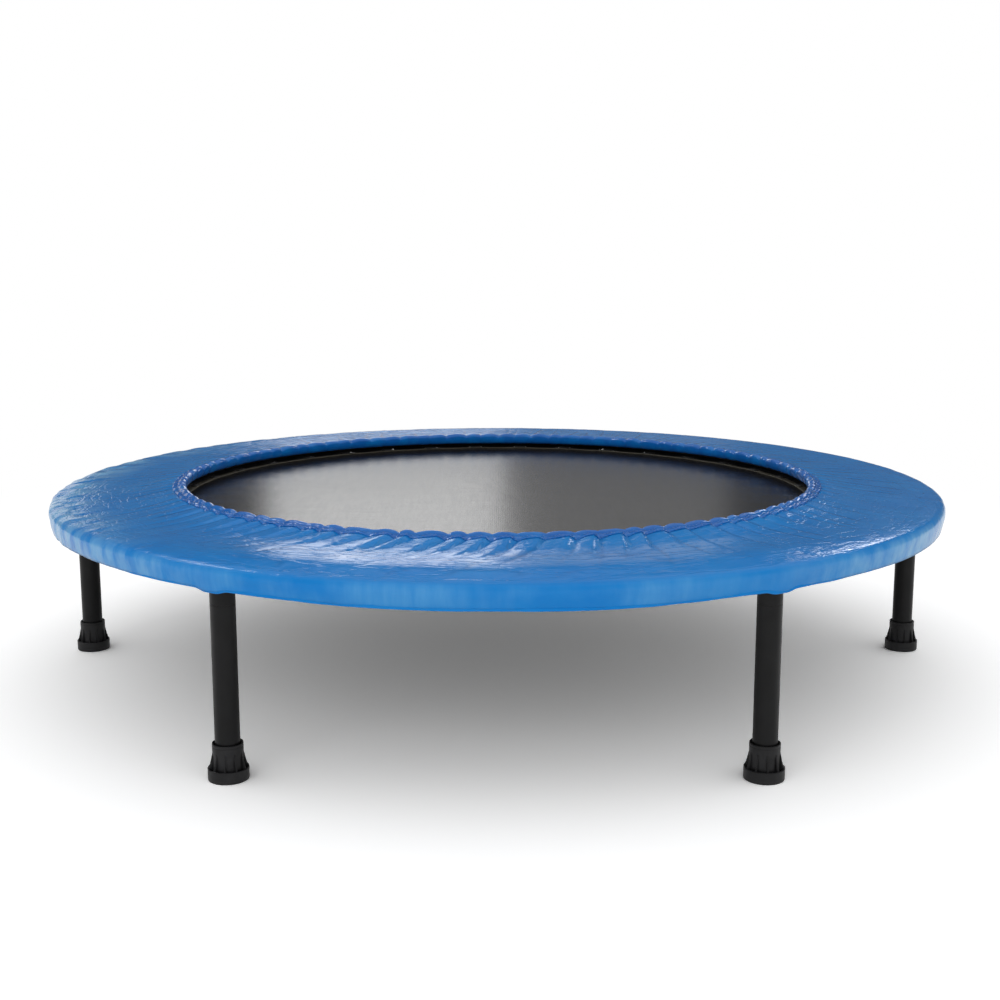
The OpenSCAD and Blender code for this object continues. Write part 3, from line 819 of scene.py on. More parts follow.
class TRAMPOLINE_OT_cover(bpy.types.Operator):
    """Build the pad's outer sheet with its folds"""
    bl_idname = "trampoline.cover"
    bl_label = "Pad Cover"

    def execute(self, context):
        pad = context.scene.trampoline_pad
        columns = pad.gathers * pad.columns
        foot_z = HEM_EDGE[0].z + EDGE_UP + 0.5 * MM
        points = [(pad.outer_r - r * MM, PAD_TOP + z * MM) for r, z in COVER_LINE]
        line = smooth_line(points + [(pad.outer_r, foot_z)], 52)
        out_r, out_z = -sideways(line)[:, :1], -sideways(line)[:, 1:]
        if out_z[3] < 0:
            out_r, out_z = -out_r, -out_z
        angle = angles(columns)[None, :]
        out = line[:, :1] - line[0, 0] + 0 * angle
        down = np.clip(SIDE_TOP - line[:, 1:], 0, None) + 0 * angle
        lift, crease_shade = cover_lift(pad, angle, out, down)
        hang = ease(down, 0, SIDE_TOP - foot_z)
        radius = line[:, :1] + out_r * lift
        height = line[:, 1:] + out_z * lift - lower_edge(angle, pad) * hang - rim_sink(angle, out)
        inner = np.arange(len(line) - 1, -1, -8)
        radius = np.vstack([radius, radius[inner] - out_r[inner] * SKIN])
        height = np.vstack([height, height[inner] - out_z[inner] * SKIN])
        run = run_along(line)
        across = np.concatenate([run, run[inner] + 1.0, [1.0]])
        turn = np.append(angle[0], TURN)
        lean = -round_the_pad(turn, SWAY)[None, :] * np.minimum(np.mod(across, 1.0), COVER_IN)[:, None]
        uv = grid_uv(turn * 0.48, across, lean)
        mesh = make_mesh("pad_cover_sheet", turned(radius, height, angle), grid(len(radius), columns), uv)
        # The share of painted shade in the creases rides on the sheet's points as its fold attribute
        crease_shade = np.vstack([crease_shade, crease_shade[inner]]).ravel()
        if len(mesh.vertices) != len(crease_shade):
            raise RuntimeError("the cover's sheet lost some of its points")
        mesh.attributes.new("fold", "FLOAT", "POINT").data.foreach_set("value", crease_shade)
        cover = add_piece("pad_cover_sheet", mesh, vinyl_finish(pad, run[-1]), "frame", "pad_vinyl",
                          "pad_cover")
        return {"FINISHED"}


class TRAMPOLINE_OT_rim(bpy.types.Operator):
    """Build the gathered casing round the mat and its rows of stitches"""
    bl_idname = "trampoline.rim"
    bl_label = "Gathered Rim"

    def execute(self, context):
        pad = context.scene.trampoline_pad
        columns = pad.gathers * 14
        at = cusps(pad)
        outline = [(pad.outer_r - r * MM, PAD_TOP + z * MM) for r, z in RIM_LINE]
        line = smooth_line(outline + outline[:1], 61)[:-1]
        out_r, out_z = -sideways(line)[:, :1], -sideways(line)[:, 1:]
        if out_r[0, 0] > 0:
            out_r, out_z = -out_r, -out_z
        angle = angles(columns)[None, :]
        inwards = (pad.outer_r - line[:, :1]) / MM
        upper = ease(line[:, 1:], PAD_TOP + 4.5 * MM, PAD_TOP + 6.5 * MM)
        zig = zigzag(angle, at)
        groove = bell(inwards - GROOVE_IN - 0.9 * zig, 1.1)
        ridge = bell(inwards - RIDGE_IN - 1.1 * zig, 0.9)
        seam = MM * upper * (0.75 * ridge - 0.9 * groove)
        bulge = lobes(angle, at) - 0.7
        crest = ease(line[:, 1:], PAD_TOP - 2 * MM, PAD_TOP + 9 * MM)
        inner = 1 - ease(line[:, :1], pad.outer_r - 152 * MM, pad.outer_r - 143 * MM)
        each = 0.75 + 0.5 * ripples(41, pad.gathers, 1, angle, 0)
        around = (line[:, :1] - line[:, :1].min()) / (16 * MM)
        pleat = ripples(42, pad.gathers * 4, 2, angle - 0.01 * around, around)
        height = line[:, 1:] + pad.gather_h * bulge * each * crest * (0.25 + 0.75 * inner)
        height = height + 0.3 * MM * pleat * crest + out_z * seam - rim_sink(angle)
        skirt = ease(line[:, :1], pad.outer_r - 148 * MM, pad.outer_r - 143 * MM)
        height = height + skirt * (cover_lift(pad, angle, 3 * MM + 0 * angle, 0 * angle)[0] - 0.3 * MM)
        wobble = 1.0 * MM * ripples(43, pad.gathers, 1, angle, 0)
        radius = line[:, :1] - 1.6 * MM * bulge * (inner * 1.2 - 0.2) + wobble * (0.3 + 0.7 * crest)
        radius = radius + out_r * seam
        run = run_along(line)
        run = np.append(run, run[-1] + 1.5 * MM)
        uv = grid_uv(np.linspace(0, TURN * 0.41, columns + 1), run)
        mesh = make_mesh("pad_rim_casing", turned(radius, height, angle), grid(len(line), columns), uv)
        add_piece("pad_rim_casing", mesh, casing_finish(pad), "frame", "pad_vinyl", "pad_rim")
        thread = thread_finish("rim_thread", (0.010, 0.150, 0.460))
        top = np.nonzero(upper[:, 0] > 0.5)[0]
        for number, (place, sway) in enumerate(((GROOVE_IN, 0.9), (RIDGE_IN - 1.4, 1.1)), 1):
            wanted = place + sway * zig[0]
            nearest = [top[np.argmin(np.abs(inwards[top, 0] - w))] for w in wanted]
            pick = np.arange(columns)
            path = turned(radius[nearest, pick], height[nearest, pick] + 0.12 * MM, angle[0])
            mesh = copies(path, stitch_item(3.0 * MM, 0.6 * MM, 0.4 * MM), 600, thread)
            add_piece(f"rim_stitches_{number}", mesh, thread, "frame", "pad_vinyl")
        return {"FINISHED"}


class TRAMPOLINE_OT_pad_hem(bpy.types.Operator):
    """Build the hem along the pad's lower edge"""
    bl_idname = "trampoline.pad_hem"
    bl_label = "Pad Hem"

    def execute(self, context):
        pad = context.scene.trampoline_pad
        columns = 1080
        low, high = HEM_EDGE[0].z + EDGE_UP, HEM_EDGE[1].z + EDGE_UP
        inner, outer = pad.outer_r - 4.3 * MM, pad.outer_r - 1.0 * MM
        section = rounded([
            (outer, high - 0.5 * MM), (outer + 0.6 * MM, low + 0.9 * MM), (outer, low), (inner, low),
            (inner, high - 0.5 * MM), (inner + SKIN, high - 0.5 * MM), (inner + SKIN, low + SKIN),
            (outer - SKIN, low + SKIN), (outer - SKIN, high - 0.5 * MM)], 0.8 * MM, 4)
        angle = angles(columns)[None, :]
        drop = lower_edge(angle, pad)
        puff = 0.35 * MM * ripples(51, 200, 1, angle, 0) + 0.5 * MM * ripples(27, 60, 2, angle, 1.0)
        radius = section[:, :1] + puff
        height = section[:, 1:] - drop + 0.25 * MM * ripples(52, 150, 1, angle, 0)
        uv = grid_uv(np.linspace(0, TURN * 0.48, columns + 1), np.append(run_along(section), 0))
        mesh = make_mesh("pad_hem_fold", turned(radius, height, angle), grid(len(section), columns), uv)
        add_piece("pad_hem_fold", mesh, vinyl_finish(pad), "frame", "pad_vinyl", "pad_hem")

        cord_r = (HEM_CORD[1].z - HEM_CORD[0].z) / 2
        cord_at = (inner + outer) / 2
        path = turned(cord_at + 0.5 * puff[:, ::2], low + SKIN + cord_r - drop[:, ::2], angle[:, ::2])
        mesh = make_mesh("pad_hem_cord", *tube(path, cord_r, 8, closed=True))
        add_piece("pad_hem_cord", mesh, elastic_finish("hem_elastic"), "frame", "elastic", "hem_cord")
        return {"FINISHED"}


class TRAMPOLINE_OT_padding(bpy.types.Operator):
    """Build the foam over the springs and the sheet under it"""
    bl_idname = "trampoline.padding"
    bl_label = "Padding"

    def execute(self, context):
        pad = context.scene.trampoline_pad
        inner, outer = pad.outer_r - 139 * MM, pad.outer_r - 1.9 * MM
        low, top = FOAM[0].z, FOAM[1].z - 1.2 * MM
        bed = LINER[1].z + 0.1 * MM
        hug = TUBE_R + 0.6 * MM
        arc = [(RING_R + hug * math.sin(t), (RING[0].z + RING[1].z) / 2 + hug * math.cos(t))
               for t in np.linspace(math.radians(-35), math.radians(90), 9)]
        section = rounded([
            (inner, bed), *[(r, z) for r, z in arc if z < bed or r > RING_R],
            (outer - 3.2 * MM, low), (outer, low),
            (outer, top - 11 * MM), (outer - 9 * MM, top - 3.2 * MM), (outer - 28 * MM, top), (inner, top)],
            2.2 * MM, 3)
        columns = 540
        angle = angles(columns)[None, :]
        soft = ease(section[:, 1:], bed + 2 * MM, top)
        reach = (section[:, :1] - inner) / 0.14
        height = section[:, 1:] + 0.6 * MM * soft * ripples(61, 70, 3, angle, reach)
        mesh = make_mesh("pad_padding", turned(section[:, :1], height, angle), grid(len(section), columns))
        foam = add_piece("pad_padding", mesh, foam_finish(), "frame", "foam", "pad_foam")

        rows = 14
        columns = 1440
        angle = angles(columns)[None, :]
        inner_r, outer_r = HEM[1].x + 0.4 * MM, LINER[1].y - 0.1 * MM
        r = np.linspace(inner_r, outer_r, rows)
        r = np.concatenate([r, r[::-1]])[:, None]
        middle, half = (LINER[0].z + LINER[1].z) / 2, (LINER[1].z - LINER[0].z) / 2
        z = np.repeat([middle + half, middle - half], rows)[:, None]
        wave = 0.12 * MM * ripples(62, 90, 4, angle, (r - inner_r) / (outer_r - inner_r))
        pitch = TURN / SPRINGS
        from_tab = np.abs(np.mod(angle, pitch) - pitch / 2) * inner_r
        drop = 2.0 + 1.4 * ease(from_tab, 8.6 * MM, 10.5 * MM) + 3.4 * ease(from_tab, 14.8 * MM, 18.5 * MM)
        wave = wave - drop * MM * (1 - ease(r, inner_r + 3.5 * MM, inner_r + 15 * MM))
        mesh = make_mesh("pad_liner_sheet", turned(r, z + wave, angle), grid(len(r), columns))
        # Painted shade: the liner is coloured near black so that it shows as the dark band of shade under
        # the far rim
        finish = woven_finish("liner", (0.008, 0.008, 0.009), 1.1 * MM, 0.7, 0.10 * MM,
                              Specular_IOR_Level=0.2)
        sheet = add_piece("pad_liner_sheet", mesh, finish, "frame", "liner", "pad_liner")
        return {"FINISHED"}


# ---- the mat ----------------------------------------------------------------------------


class TRAMPOLINE_OT_mat(bpy.types.Operator):
    """Build the woven jumping mat"""
    bl_idname = "trampoline.mat"
    bl_label = "Mat"

    def execute(self, context):
        mat = context.scene.trampoline_mat
        columns, rows = 432, 40
        angle = angles(columns)[None, :]
        r = mat.radius * np.linspace(0, 1, rows) ** 0.8
        pull = 0.22 * MM * np.cos(SPRINGS * (angle - HALF_PITCH)) * ease(r, *PULLED)[:, None]
        slack = 0.08 * MM * ripples(71, 18, 3, angle, (r / mat.radius)[:, None])
        slack = slack * hump(r, 0.05, 0.36, 0.05)[:, None]
        top = MAT_Z + MAT_T / 2 + pull + slack
        bottom = MAT_Z - MAT_T / 2 + pull + slack
        radius = np.concatenate([r, r[::-1]])[:, None]
        mesh = make_mesh("mat_sheet", turned(radius, np.vstack([top, bottom[::-1]]), angle),
                         grid(2 * rows, columns))
        finish = woven_finish("mat_fabric", mat.fabric, mat.tape, 0.23, 0.016 * MM, 0.15,
                              Specular_IOR_Level=0.17)
        sheet = add_piece("mat_sheet", mesh, finish, "mat", "mat_fabric", "mat")
        return {"FINISHED"}


class TRAMPOLINE_OT_mat_edge(bpy.types.Operator):
    """Build the mat's hem, tabs, wire rings and stitches"""
    bl_idname = "trampoline.mat_edge"
    bl_label = "Mat Edge"

    def execute(self, context):
        mat = context.scene.trampoline_mat
        steel = context.scene.trampoline_steel
        columns = 720
        inner, outer, half = mat.radius - 8 * MM, HEM[1].x, (HEM[1].z - HEM[0].z) / 2
        below, above = MAT_Z - MAT_T / 2 - 0.05 * MM, MAT_Z + MAT_T / 2 + 0.05 * MM
        fold = rounded([
            (inner, MAT_Z + half), (outer, MAT_Z + half), (outer, MAT_Z - half), (inner, MAT_Z - half),
            (inner, below), (outer - 1 * MM, below), (outer - 1 * MM, above), (inner, above)], 0.45 * MM, 2)
        angle = angles(columns)[None, :]
        wave = 0.2 * MM * np.cos(SPRINGS * (angle - HALF_PITCH)) * ease(fold[:, :1], *PULLED)
        mesh = make_mesh("mat_hem_fold", turned(fold[:, :1], fold[:, 1:] + wave, angle),
                         grid(len(fold), columns))
        hem_finish = woven_finish("hem_webbing", mat.hem, 0.9 * MM, 0.6, 0.14 * MM)
        add_piece("mat_hem_fold", mesh, hem_finish, "mat", "webbing", "mat_hem")

        tab = self.tab_mesh(WIRE_BAR_R, half + 0.15 * MM)
        webbing = woven_finish("tab_webbing", mat.webbing, 0.8 * MM, 0.6, 0.14 * MM)
        path = circle_path(WIRE_BAR_R, MAT_Z, 360, HALF_PITCH)
        mesh = copies(path, tab, SPRINGS, webbing)
        add_piece("mat_tab_loops", mesh, webbing, "mat", "webbing", "mat_tabs")

        wire = wire_finish("ring_zinc", steel.wire, 0.34)
        mesh = copies(path, self.ring_mesh(), SPRINGS, wire)
        add_piece("mat_wire_rings", mesh, wire, "mat", "zinc", "mat_rings")

        thread = thread_finish("mat_thread", (0.09, 0.09, 0.085))
        stitch = stitch_item(2.6 * MM, 0.6 * MM, 0.5 * MM)
        for number, (r, z) in enumerate(((inner + 1.2 * MM, half), (inner + 2.2 * MM, -half)), 1):
            seam = circle_path(r, MAT_Z + z, columns, HALF_PITCH)
            seam[:, 2] += 0.2 * MM * np.cos(SPRINGS * (angles(columns, HALF_PITCH) - HALF_PITCH))
            mesh = copies(seam, stitch, 640, thread)
            add_piece(f"mat_hem_stitches_{number}", mesh, thread, "mat", "webbing")
        return {"FINISHED"}

    @staticmethod
    def tab_mesh(bar_r, inside):
        """A webbing loop round a ring's bar, X along the edge and Y to the mat's centre."""
        thick, reach, width = 1.0 * MM, bar_r - (MAT_R - 6 * MM), 16 * MM
        turn = np.linspace(math.pi / 2, -math.pi / 2, 11)
        bend = [(-math.cos(t), math.sin(t)) for t in turn]
        outer = [(reach, inside + thick), (reach * 0.5, inside + thick * 1.05)]
        outer += [(y * (inside + thick), z * (inside + thick)) for y, z in bend]
        outer += [(reach * 0.5, -inside - thick * 1.05), (reach, -inside - thick)]
        inner = [(reach, -inside), (reach * 0.5, -inside)]
        inner += [(y * inside, z * inside) for y, z in reversed(bend)]
        inner += [(reach * 0.5, inside), (reach, inside)]
        ring = np.array(outer + inner)
        halfway = (ring + ring[::-1]) / 2
        parts = []
        for x, shrink in ((-0.5, 0.25), (-0.47, 0.0), (-0.25, 0.0), (0.0, 0.0), (0.25, 0.0), (0.47, 0.0),
                          (0.5, 0.25)):
            p = ring * (1 - shrink) + halfway * shrink
            parts.append(np.column_stack([np.full(len(p), x * width), p]))
        points = np.vstack(parts)
        count = len(ring)
        faces = grid(len(parts), count, loop_rows=False).tolist()
        for base in (0, (len(parts) - 1) * count):
            for k in range(count // 2 - 1):
                faces.append([base + k, base + k + 1, base + count - 2 - k, base + count - 1 - k])
        return make_mesh("tab", points, faces)

    @staticmethod
    def ring_mesh():
        """A triangle of round wire, its bar inwards and its tip outwards."""
        wide, tip, bend = 14 * MM, 1.0 * MM, 2.4 * MM
        outline = rounded([(-wide, 0), (wide, 0), (tip, -RING_REACH), (-tip, -RING_REACH)], bend, 5)
        path = np.column_stack([outline, np.zeros(len(outline))])
        return make_mesh("ring", *tube(path, WIRE_R, 8, closed=True))


class TRAMPOLINE_OT_springs(bpy.types.Operator):
    """Build the springs between the ring and the mat"""
    bl_idname = "trampoline.springs"
    bl_label = "Springs"

    def execute(self, context):
        steel = context.scene.trampoline_steel
        finish = wire_finish("spring_steel", steel.wire, 0.30)
        points, faces = tube(self.wire_path(steel), steel.wire_r, 6)
        in_a_node = SPRINGS // LEGS
        for number in range(SPRINGS):
            turn = (number + 0.5) * TURN / SPRINGS
            mesh = make_mesh(f"spring_{number + 1:02d}", turned_copy(points, turn), faces)
            nodes = [f"springs_{number // in_a_node + 1}"] if number % in_a_node == 0 else []
            piece = add_piece(f"spring_{number + 1:02d}", mesh, finish, None, "spring_steel", *nodes)
            way = Vector((math.cos(turn), math.sin(turn), 0))
            start, end = way * (RING_R - TUBE_R - 2 * MM), way * (SPRING_IN + 3 * MM)
            start.z = end.z = MAT_Z
            tuple(start)
            tuple(end)
            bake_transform(piece)
        return {"FINISHED"}

    @staticmethod
    def wire_path(steel):
        """A spring's wire along +X: a loop on the mat ring, a close coil and a hook down into the ring."""
        r, wire = steel.coil_r - steel.wire_r, 2 * steel.wire_r
        loop_x, loop_r = WIRE_BAR_R + RING_REACH + 0.6 * MM, 3 * MM
        coil_0, coil_1 = loop_x + loop_r + 0.6 * MM, RING_R - TUBE_R - 0.3 * MM - steel.wire_r
        neck, neck_r = 4 * MM, 0.7 * MM
        path = []
        for t in np.radians(np.linspace(290, -14, 26)):
            path.append((loop_x + loop_r * math.cos(t), 0.0, loop_r * math.sin(t)))
        turns = (coil_1 - coil_0) / wire
        for t in np.arange(0.25, turns, 0.1):
            x = coil_0 + t * wire
            swell = float(ease(x - coil_0, 0, neck) * ease(coil_1 - x, 0, neck))
            rho = neck_r + (r - neck_r) * swell
            path.append((x, rho * math.cos(t * TURN), -rho * math.sin(t * TURN)))
        wall, bend = 1.2 * MM, 2.2 * MM
        tail_x = RING_R - TUBE_R + wall + 0.3 * MM + steel.wire_r
        path.append((coil_1 + 0.9 * MM, 0, 0))
        for t in np.radians(np.linspace(90, 0, 6)):
            path.append((tail_x - bend + bend * math.cos(t), 0, -bend + bend * math.sin(t)))
        path.append((tail_x, 0, -bend - 2 * MM))
        return np.array(path) + [0, 0, MAT_Z]


# ---- frame and legs ---------------------------------------------------------------------


def refinish(node, finish):
    """Gives a CAD node that keeps its shape a new finish."""
    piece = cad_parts[node]
    piece = piece if isinstance(piece, bpy.types.Object) else bpy.data.objects[piece]
    if not piece.material_slots:
        piece.data.materials.append(finish)
    for slot in piece.material_slots:
        slot.material = finish


def leg_centre(number):
    low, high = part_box(f"leg_tube_{number}")
    return (low.x + high.x) / 2, (low.y + high.y) / 2


class TRAMPOLINE_OT_frame(bpy.types.Operator):
    """Finish the ring, stubs, tubes and small fittings"""
    bl_idname = "trampoline.frame"
    bl_label = "Frame"

    def execute(self, context):
        steel = context.scene.trampoline_steel
        coat = powder_finish("frame_paint", steel.paint, 0.36)
        leg_coat = powder_finish("leg_paint", steel.paint, 0.34)
        zinc = wire_finish("zinc", (0.62, 0.62, 0.60), 0.38)
        washer = moulded_finish("washer_plastic", (0.006, 0.006, 0.006), 0.5)
        plug = moulded_finish("plug_plastic", (0.010, 0.010, 0.010), 0.45)
        refinish("frame_ring", coat)
        refinish("stub_nuts", zinc)
        refinish("rim_cord", elastic_finish("elastic"))
        for number in range(1, LEGS + 1):
            for part, finish in (("stub", leg_coat), ("tube", leg_coat), ("washer", washer), ("plug", plug)):
                refinish(f"leg_{part}_{number}", finish)
        return {"FINISHED"}


class TRAMPOLINE_OT_bolts(bpy.types.Operator):
    """Build the threaded bolts of the legs"""
    bl_idname = "trampoline.bolts"
    bl_label = "Leg Bolts"

    def execute(self, context):
        zinc = wire_finish("bolt_zinc", (0.62, 0.62, 0.60), 0.36)
        low, high = BOLT
        head_h, flats, pitch, depth, shank_r = 6.4 * MM, 17 * MM, 1.5 * MM, 0.75 * MM, 5 * MM
        head = low.z + head_h
        rows, sides = 150, 20
        z = np.linspace(head, high.z, rows)[:, None]
        angle = angles(sides)[None, :]
        phase = np.mod((z - head) / pitch - angle / TURN, 1.0)
        ridge = 1 - np.abs(2 * phase - 1)
        chamfer = 1.0 * MM * ease(z, high.z - 1.0 * MM, high.z)
        shaft = turned(shank_r - depth * (1 - ridge) - chamfer, z, angle)
        corner_r = flats / math.cos(math.radians(30)) / 2
        hexagon = [turned(corner_r * shrink, level, angles(6))
                   for shrink, level in ((0.86, low.z), (1.0, low.z + 1 * MM), (1.0, head))]
        points, faces = joined([(shaft, capped(rows, sides)), (np.vstack(hexagon), capped(3, 6))])
        for number in range(1, LEGS + 1):
            x, y = leg_centre(number)
            mesh = make_mesh(f"bolt_{number}", points + [x, y, 0], faces)
            add_piece(f"bolt_{number}", mesh, zinc, f"leg_{number}", "zinc", f"leg_bolt_{number}")
        return {"FINISHED"}


class TRAMPOLINE_OT_feet(bpy.types.Operator):
    """Build the moulded feet with their fins"""
    bl_idname = "trampoline.feet"
    bl_label = "Feet"

    def execute(self, context):
        foot = context.scene.trampoline_foot
        finish = moulded_finish("foot_rubber", foot.rubber, 0.42, 0.08)
        base_r, top = (FOOT[1].x - FOOT[0].x) / 2, FOOT[1].z
        section = self.section(base_r, top, LEG_R + 0.1 * MM)
        fin = self.fin_mesh()
        for number in range(1, LEGS + 1):
            centre = leg_centre(number)
            points, faces = lathe(section, 72, centre)
            body = make_mesh(f"foot_{number}", points, faces)
            ring = circle_path(base_r, 0, 80, TURN / foot.fins / 2, centre)
            fins = copies(ring, fin.copy(), foot.fins, finish)
            shape = bmesh.new()
            shape.from_mesh(body)
            shape.from_mesh(fins)
            shape.to_mesh(body)
            shape.free()
            body.shade_smooth()
            add_piece(f"foot_moulding_{number}", body, finish, f"leg_{number}", "foot_rubber",
                      f"foot_{number}")
        return {"FINISHED"}

    @staticmethod
    def section(base_r, top, bore):
        """Closed half section of a foot, from its sole up the outside and down its socket."""
        sole, recess = 6 * MM, 1.5 * MM
        sleeve = 15.4 * MM
        lip, lip_w, moat = 12.3 * MM, 1.7 * MM, 7.6 * MM
        outline = [
            (0, recess), (base_r * 0.62, recess), (base_r * 0.62, 0), (base_r - 0.3 * MM, 0),
            (base_r, 1.2 * MM), (base_r, lip), (base_r - lip_w, lip), (base_r - lip_w - 0.3 * MM, moat),
            (sleeve, moat), (sleeve - 0.4 * MM, 24.0 * MM), (sleeve, 29.0 * MM),
            (sleeve + 0.1 * MM, 34.2 * MM), (sleeve - 0.1 * MM, 34.6 * MM), (sleeve - 0.1 * MM, 35.0 * MM),
            (sleeve + 0.1 * MM, 35.4 * MM), (sleeve, top), (sleeve - 1.1 * MM, top), (bore, top - 3 * MM),
            (bore, sole), (0, sole),
        ]
        ends = rounded(outline[1:-1], 0.5 * MM, 3)
        return np.vstack([[outline[0]], ends, [outline[-1]]])

    @staticmethod
    def fin_mesh():
        """One fin, X along the rim and Y to the foot's axis from the rim's edge."""
        thick = 1.5 * MM
        edge = [
            (1.0, 7.2), (1.0, 12.4), (1.5, 13.5), (3.1, 19.0), (4.7, 26.4), (5.3, 30.0),
            (6.6, 30.0), (6.6, 7.2),
        ]
        outline = np.array(edge) * MM
        away = outline - outline.mean(axis=0)
        size = np.linalg.norm(away, axis=1)[:, None]
        layers = []
        for x, inset in ((-0.5, 0.35 * MM), (-0.36, 0.0), (0.36, 0.0), (0.5, 0.35 * MM)):
            p = outline - away / size * inset
            layers.append(np.column_stack([np.full(len(p), x * thick), p]))
        return make_mesh("fin", np.vstack(layers), capped(len(layers), len(outline)))


# ---- the stage --------------------------------------------------------------------------


# Glowing panels round the stage, which only the gloss shows: name, direction of the middle in degrees
# round the stage, distance, width, lower and upper edge, height of its full strength, strength at the
# lower edge and in full
PANELS = (
    ("panel_white", 97.2, 3.02, 0.84, 0.57, 1.46, 0.87, 0.15, 3.1),
    ("panel_grey", 82.4, 3.02, 0.78, 0.60, 1.42, 0.82, 0.06, 0.66),
    ("panel_right", 52.1, 2.05, 0.42, 1.20, 1.50, 1.21, 12.0, 12.0),
    ("panel_left", 124.4, 3.63, 1.10, 0.02, 1.10, 0.50, 1.0, 1.0),
    ("panel_high", 161.0, 1.74, 0.50, 2.05, 2.50, 2.10, 26.0, 26.0),
)


def soft_light(name, power, size, at, towards):
    """Square area light at a place, turned towards a point."""
    light = bpy.data.lights.new(name, "AREA")
    light.energy = power
    light.size = size
    lamp = bpy.data.objects.new(name, light)
    lamp.location = at
    lamp.rotation_euler = (Vector(towards) - Vector(at)).to_track_quat("-Z", "Y").to_euler()
    bpy.context.scene.collection.objects.link(lamp)
    return lamp


def stage_piece(name, mesh, finish):
    """Object of the stage with its finish."""
    mesh.materials.append(finish.material)
    piece = bpy.data.objects.new(name, mesh)
    bpy.context.scene.collection.objects.link(piece)
    return piece


def only_in_gloss(piece):
    """Makes a piece of the stage that nothing but reflections show."""
    piece.visible_camera = piece.visible_diffuse = piece.visible_shadow = False
    piece.visible_transmission = piece.visible_volume_scatter = False


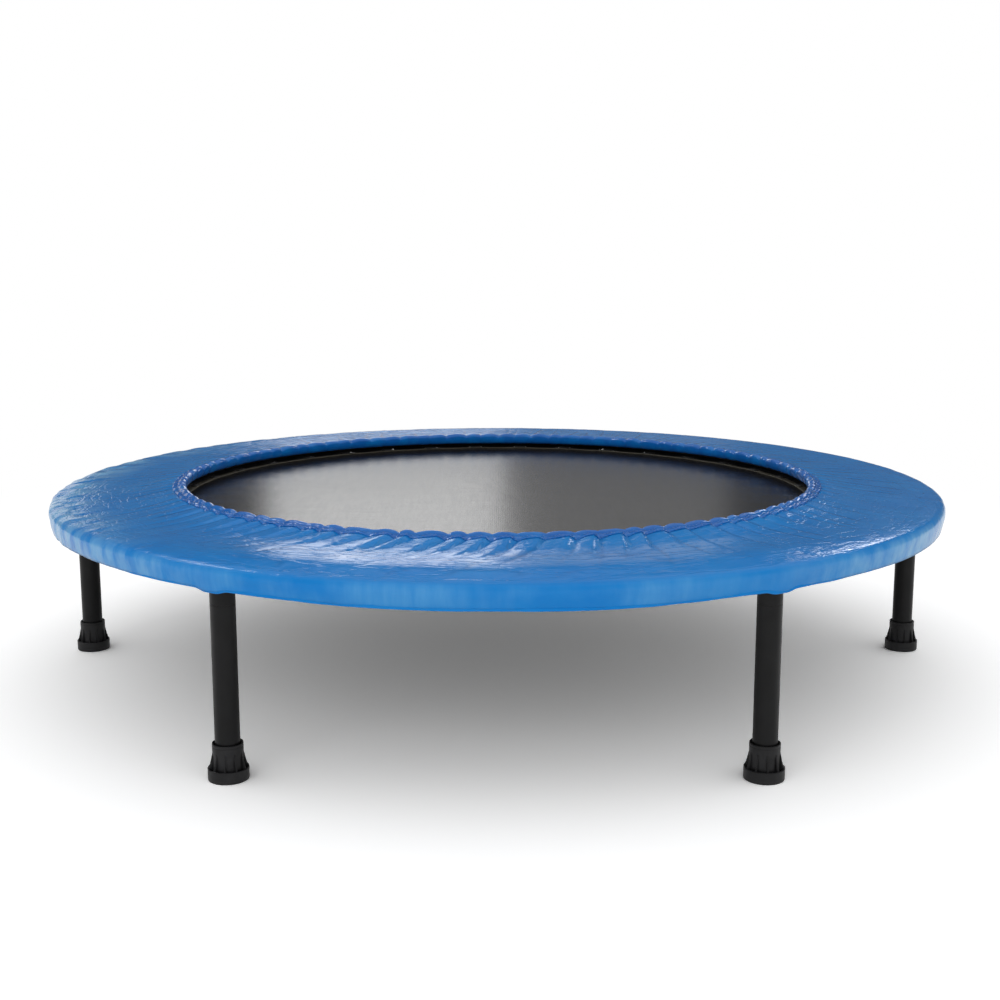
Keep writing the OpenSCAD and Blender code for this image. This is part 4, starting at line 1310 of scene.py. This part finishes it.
class TRAMPOLINE_OT_stage(bpy.types.Operator):
    """Set the floor, the studio light and the camera"""
    bl_idname = "trampoline.stage"
    bl_label = "Stage"

    def execute(self, context):
        scene, stage = context.scene, context.scene.trampoline_stage
        scene.view_settings.view_transform = "Standard"
        self.floor()
        self.dome(stage)
        self.backdrop(stage)
        for name, *facts in PANELS:
            self.panel(name, *facts)
        front = soft_light("front", stage.fill, 3.2, (-0.9, -3.6, 1.3), (0, 0, 0.15))
        front.visible_glossy = front.visible_camera = False
        camera = bpy.data.objects.new("camera", bpy.data.cameras.new("camera"))
        camera.location = stage.camera_at
        camera.rotation_euler = (math.pi / 2 - stage.camera_down, 0, 0)
        camera.data.lens = stage.lens
        camera.data.sensor_width = 36.0
        camera.data.clip_end = 100.0
        scene.collection.objects.link(camera)
        scene.camera = camera
        return {"FINISHED"}

    @staticmethod
    def floor():
        """Pale floor that keeps the shadow near the object and is plain white further off."""
        half = 12.0
        mesh = bpy.data.meshes.new("floor")
        mesh.from_pydata([(-half, -half, 0), (half, -half, 0), (half, half, 0), (-half, half, 0)], [],
                         [(0, 1, 2, 3)])
        grey, seen_grey = 0.93, 1.26
        f = Finish("floor", (grey, grey, grey), 0.9, Specular_IOR_Level=0.0)
        rays = f.add("ShaderNodeLightPath")
        bright = f.spread(rays.outputs["Is Camera Ray"], 0, 1, grey, seen_grey)
        tone = f.add("ShaderNodeCombineColor", {"Red": bright, "Green": bright, "Blue": bright})
        f.colour(tone.outputs[0])
        white = f.add("ShaderNodeEmission", {"Color": (1, 1, 1, 1), "Strength": 1.0})
        far = f.add("ShaderNodeVectorMath", {0: f.coords}, operation="LENGTH").outputs["Value"]
        fade = f.add("ShaderNodeMapRange", {"Value": far, "From Min": 0.5, "From Max": 1.6},
                     interpolation_type="SMOOTHSTEP").outputs["Result"]
        mix = f.add("ShaderNodeMixShader", {0: f.times(fade, f.seen()), 1: f.shader.outputs["BSDF"],
                                            2: white.outputs["Emission"]})
        f.surface(mix.outputs["Shader"])
        floor = stage_piece("floor", mesh, f)

    @staticmethod
    def panel(name, direction, distance, width, low, high, full, strength_low, strength_full):
        """Upright glowing panel that faces the stage, brighter or dimmer towards its top."""
        turn = math.radians(direction)
        middle = Vector((math.cos(turn), math.sin(turn), 0)) * distance
        side = Vector((-math.sin(turn), math.cos(turn), 0)) * width / 2
        corners = [middle + side, middle - side]
        points = [(p.x, p.y, z) for z in (low, high) for p in corners]
        mesh = bpy.data.meshes.new(name)
        mesh.from_pydata(points, [], [(0, 1, 3, 2)])
        f = Finish(name, (0, 0, 0), 1.0)
        height = f.add("ShaderNodeSeparateXYZ", {"Vector": f.coords}).outputs["Z"]
        f.glow(f.spread(height, low, full, strength_low, strength_full))
        only_in_gloss(stage_piece(name, mesh, f))

    @staticmethod
    def backdrop(stage):
        """Grey wall round the stage, which only the gloss shows."""
        radius, height, sides = 6.0, 5.0, 64
        points = turned(radius, np.array([[0.0], [height]]), angles(sides))
        mesh = make_mesh("backdrop", points, grid(2, sides, loop_rows=False))
        f = Finish("backdrop", (0, 0, 0), 1.0)
        f.glow(stage.backdrop)
        only_in_gloss(stage_piece("backdrop", mesh, f))

    @staticmethod
    def dome(stage):
        """Soft light from all round, strongest near the horizon, seen as plain white."""
        world = bpy.data.worlds.new("studio")
        bpy.context.scene.world = world
        world.use_nodes = True
        n = Nodes(world.node_tree)
        ground = n.tree.nodes["Background"]
        ground.inputs["Color"].default_value = (1, 1, 1, 1)
        way = n.add("ShaderNodeTexCoord").outputs["Generated"]
        height = n.add("ShaderNodeSeparateXYZ", {"Vector": way}).outputs["Z"]
        light = n.spread(height, 0.4, 0.62, stage.low_light, stage.high_light)
        n.link(n.spread(n.seen(), 0.0, 1.0, light, 1.0), ground.inputs["Strength"])


# ---- the add-on -------------------------------------------------------------------------

BUILDERS = (
    TRAMPOLINE_OT_frame, TRAMPOLINE_OT_bolts, TRAMPOLINE_OT_feet, TRAMPOLINE_OT_mat,
    TRAMPOLINE_OT_mat_edge, TRAMPOLINE_OT_springs, TRAMPOLINE_OT_padding, TRAMPOLINE_OT_cover,
    TRAMPOLINE_OT_rim, TRAMPOLINE_OT_pad_hem, TRAMPOLINE_OT_stage,
)
SETTINGS = (
    ("trampoline_pad", PadSettings), ("trampoline_mat", MatSettings), ("trampoline_steel", SteelSettings),
    ("trampoline_foot", FootSettings), ("trampoline_stage", StageSettings),
)


class TRAMPOLINE_PT_panel(bpy.types.Panel):
    """Sizes, colours and build steps of the trampoline"""
    bl_label = "Mini Trampoline"
    bl_idname = "TRAMPOLINE_PT_panel"
    bl_space_type = "VIEW_3D"
    bl_region_type = "UI"
    bl_category = "Trampoline"

    def draw(self, context):
        for name, group in SETTINGS:
            box = self.layout.box()
            box.label(text=group.__name__.replace("Settings", ""))
            for label in group.__annotations__:
                box.prop(getattr(context.scene, name), label)
        for builder in BUILDERS:
            self.layout.operator(builder.bl_idname)


def register():
    for _, group in SETTINGS:
        bpy.utils.register_class(group)
    for builder in (*BUILDERS, TRAMPOLINE_PT_panel):
        bpy.utils.register_class(builder)
    for name, group in SETTINGS:
        setattr(bpy.types.Scene, name, PointerProperty(type=group))


def unregister():
    for name, _ in SETTINGS:
        delattr(bpy.types.Scene, name)
    for kind in (TRAMPOLINE_PT_panel, *reversed(BUILDERS)):
        bpy.utils.unregister_class(kind)
    for _, group in reversed(SETTINGS):
        bpy.utils.unregister_class(group)


def main():
    register()
    for builder in BUILDERS:
        area, step = builder.bl_idname.split(".")
        result = getattr(getattr(bpy.ops, area), step)()
        if result != {"FINISHED"}:
            raise RuntimeError(f"{builder.bl_label} wasn't built")
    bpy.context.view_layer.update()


if __name__ == "__main__":
    main()
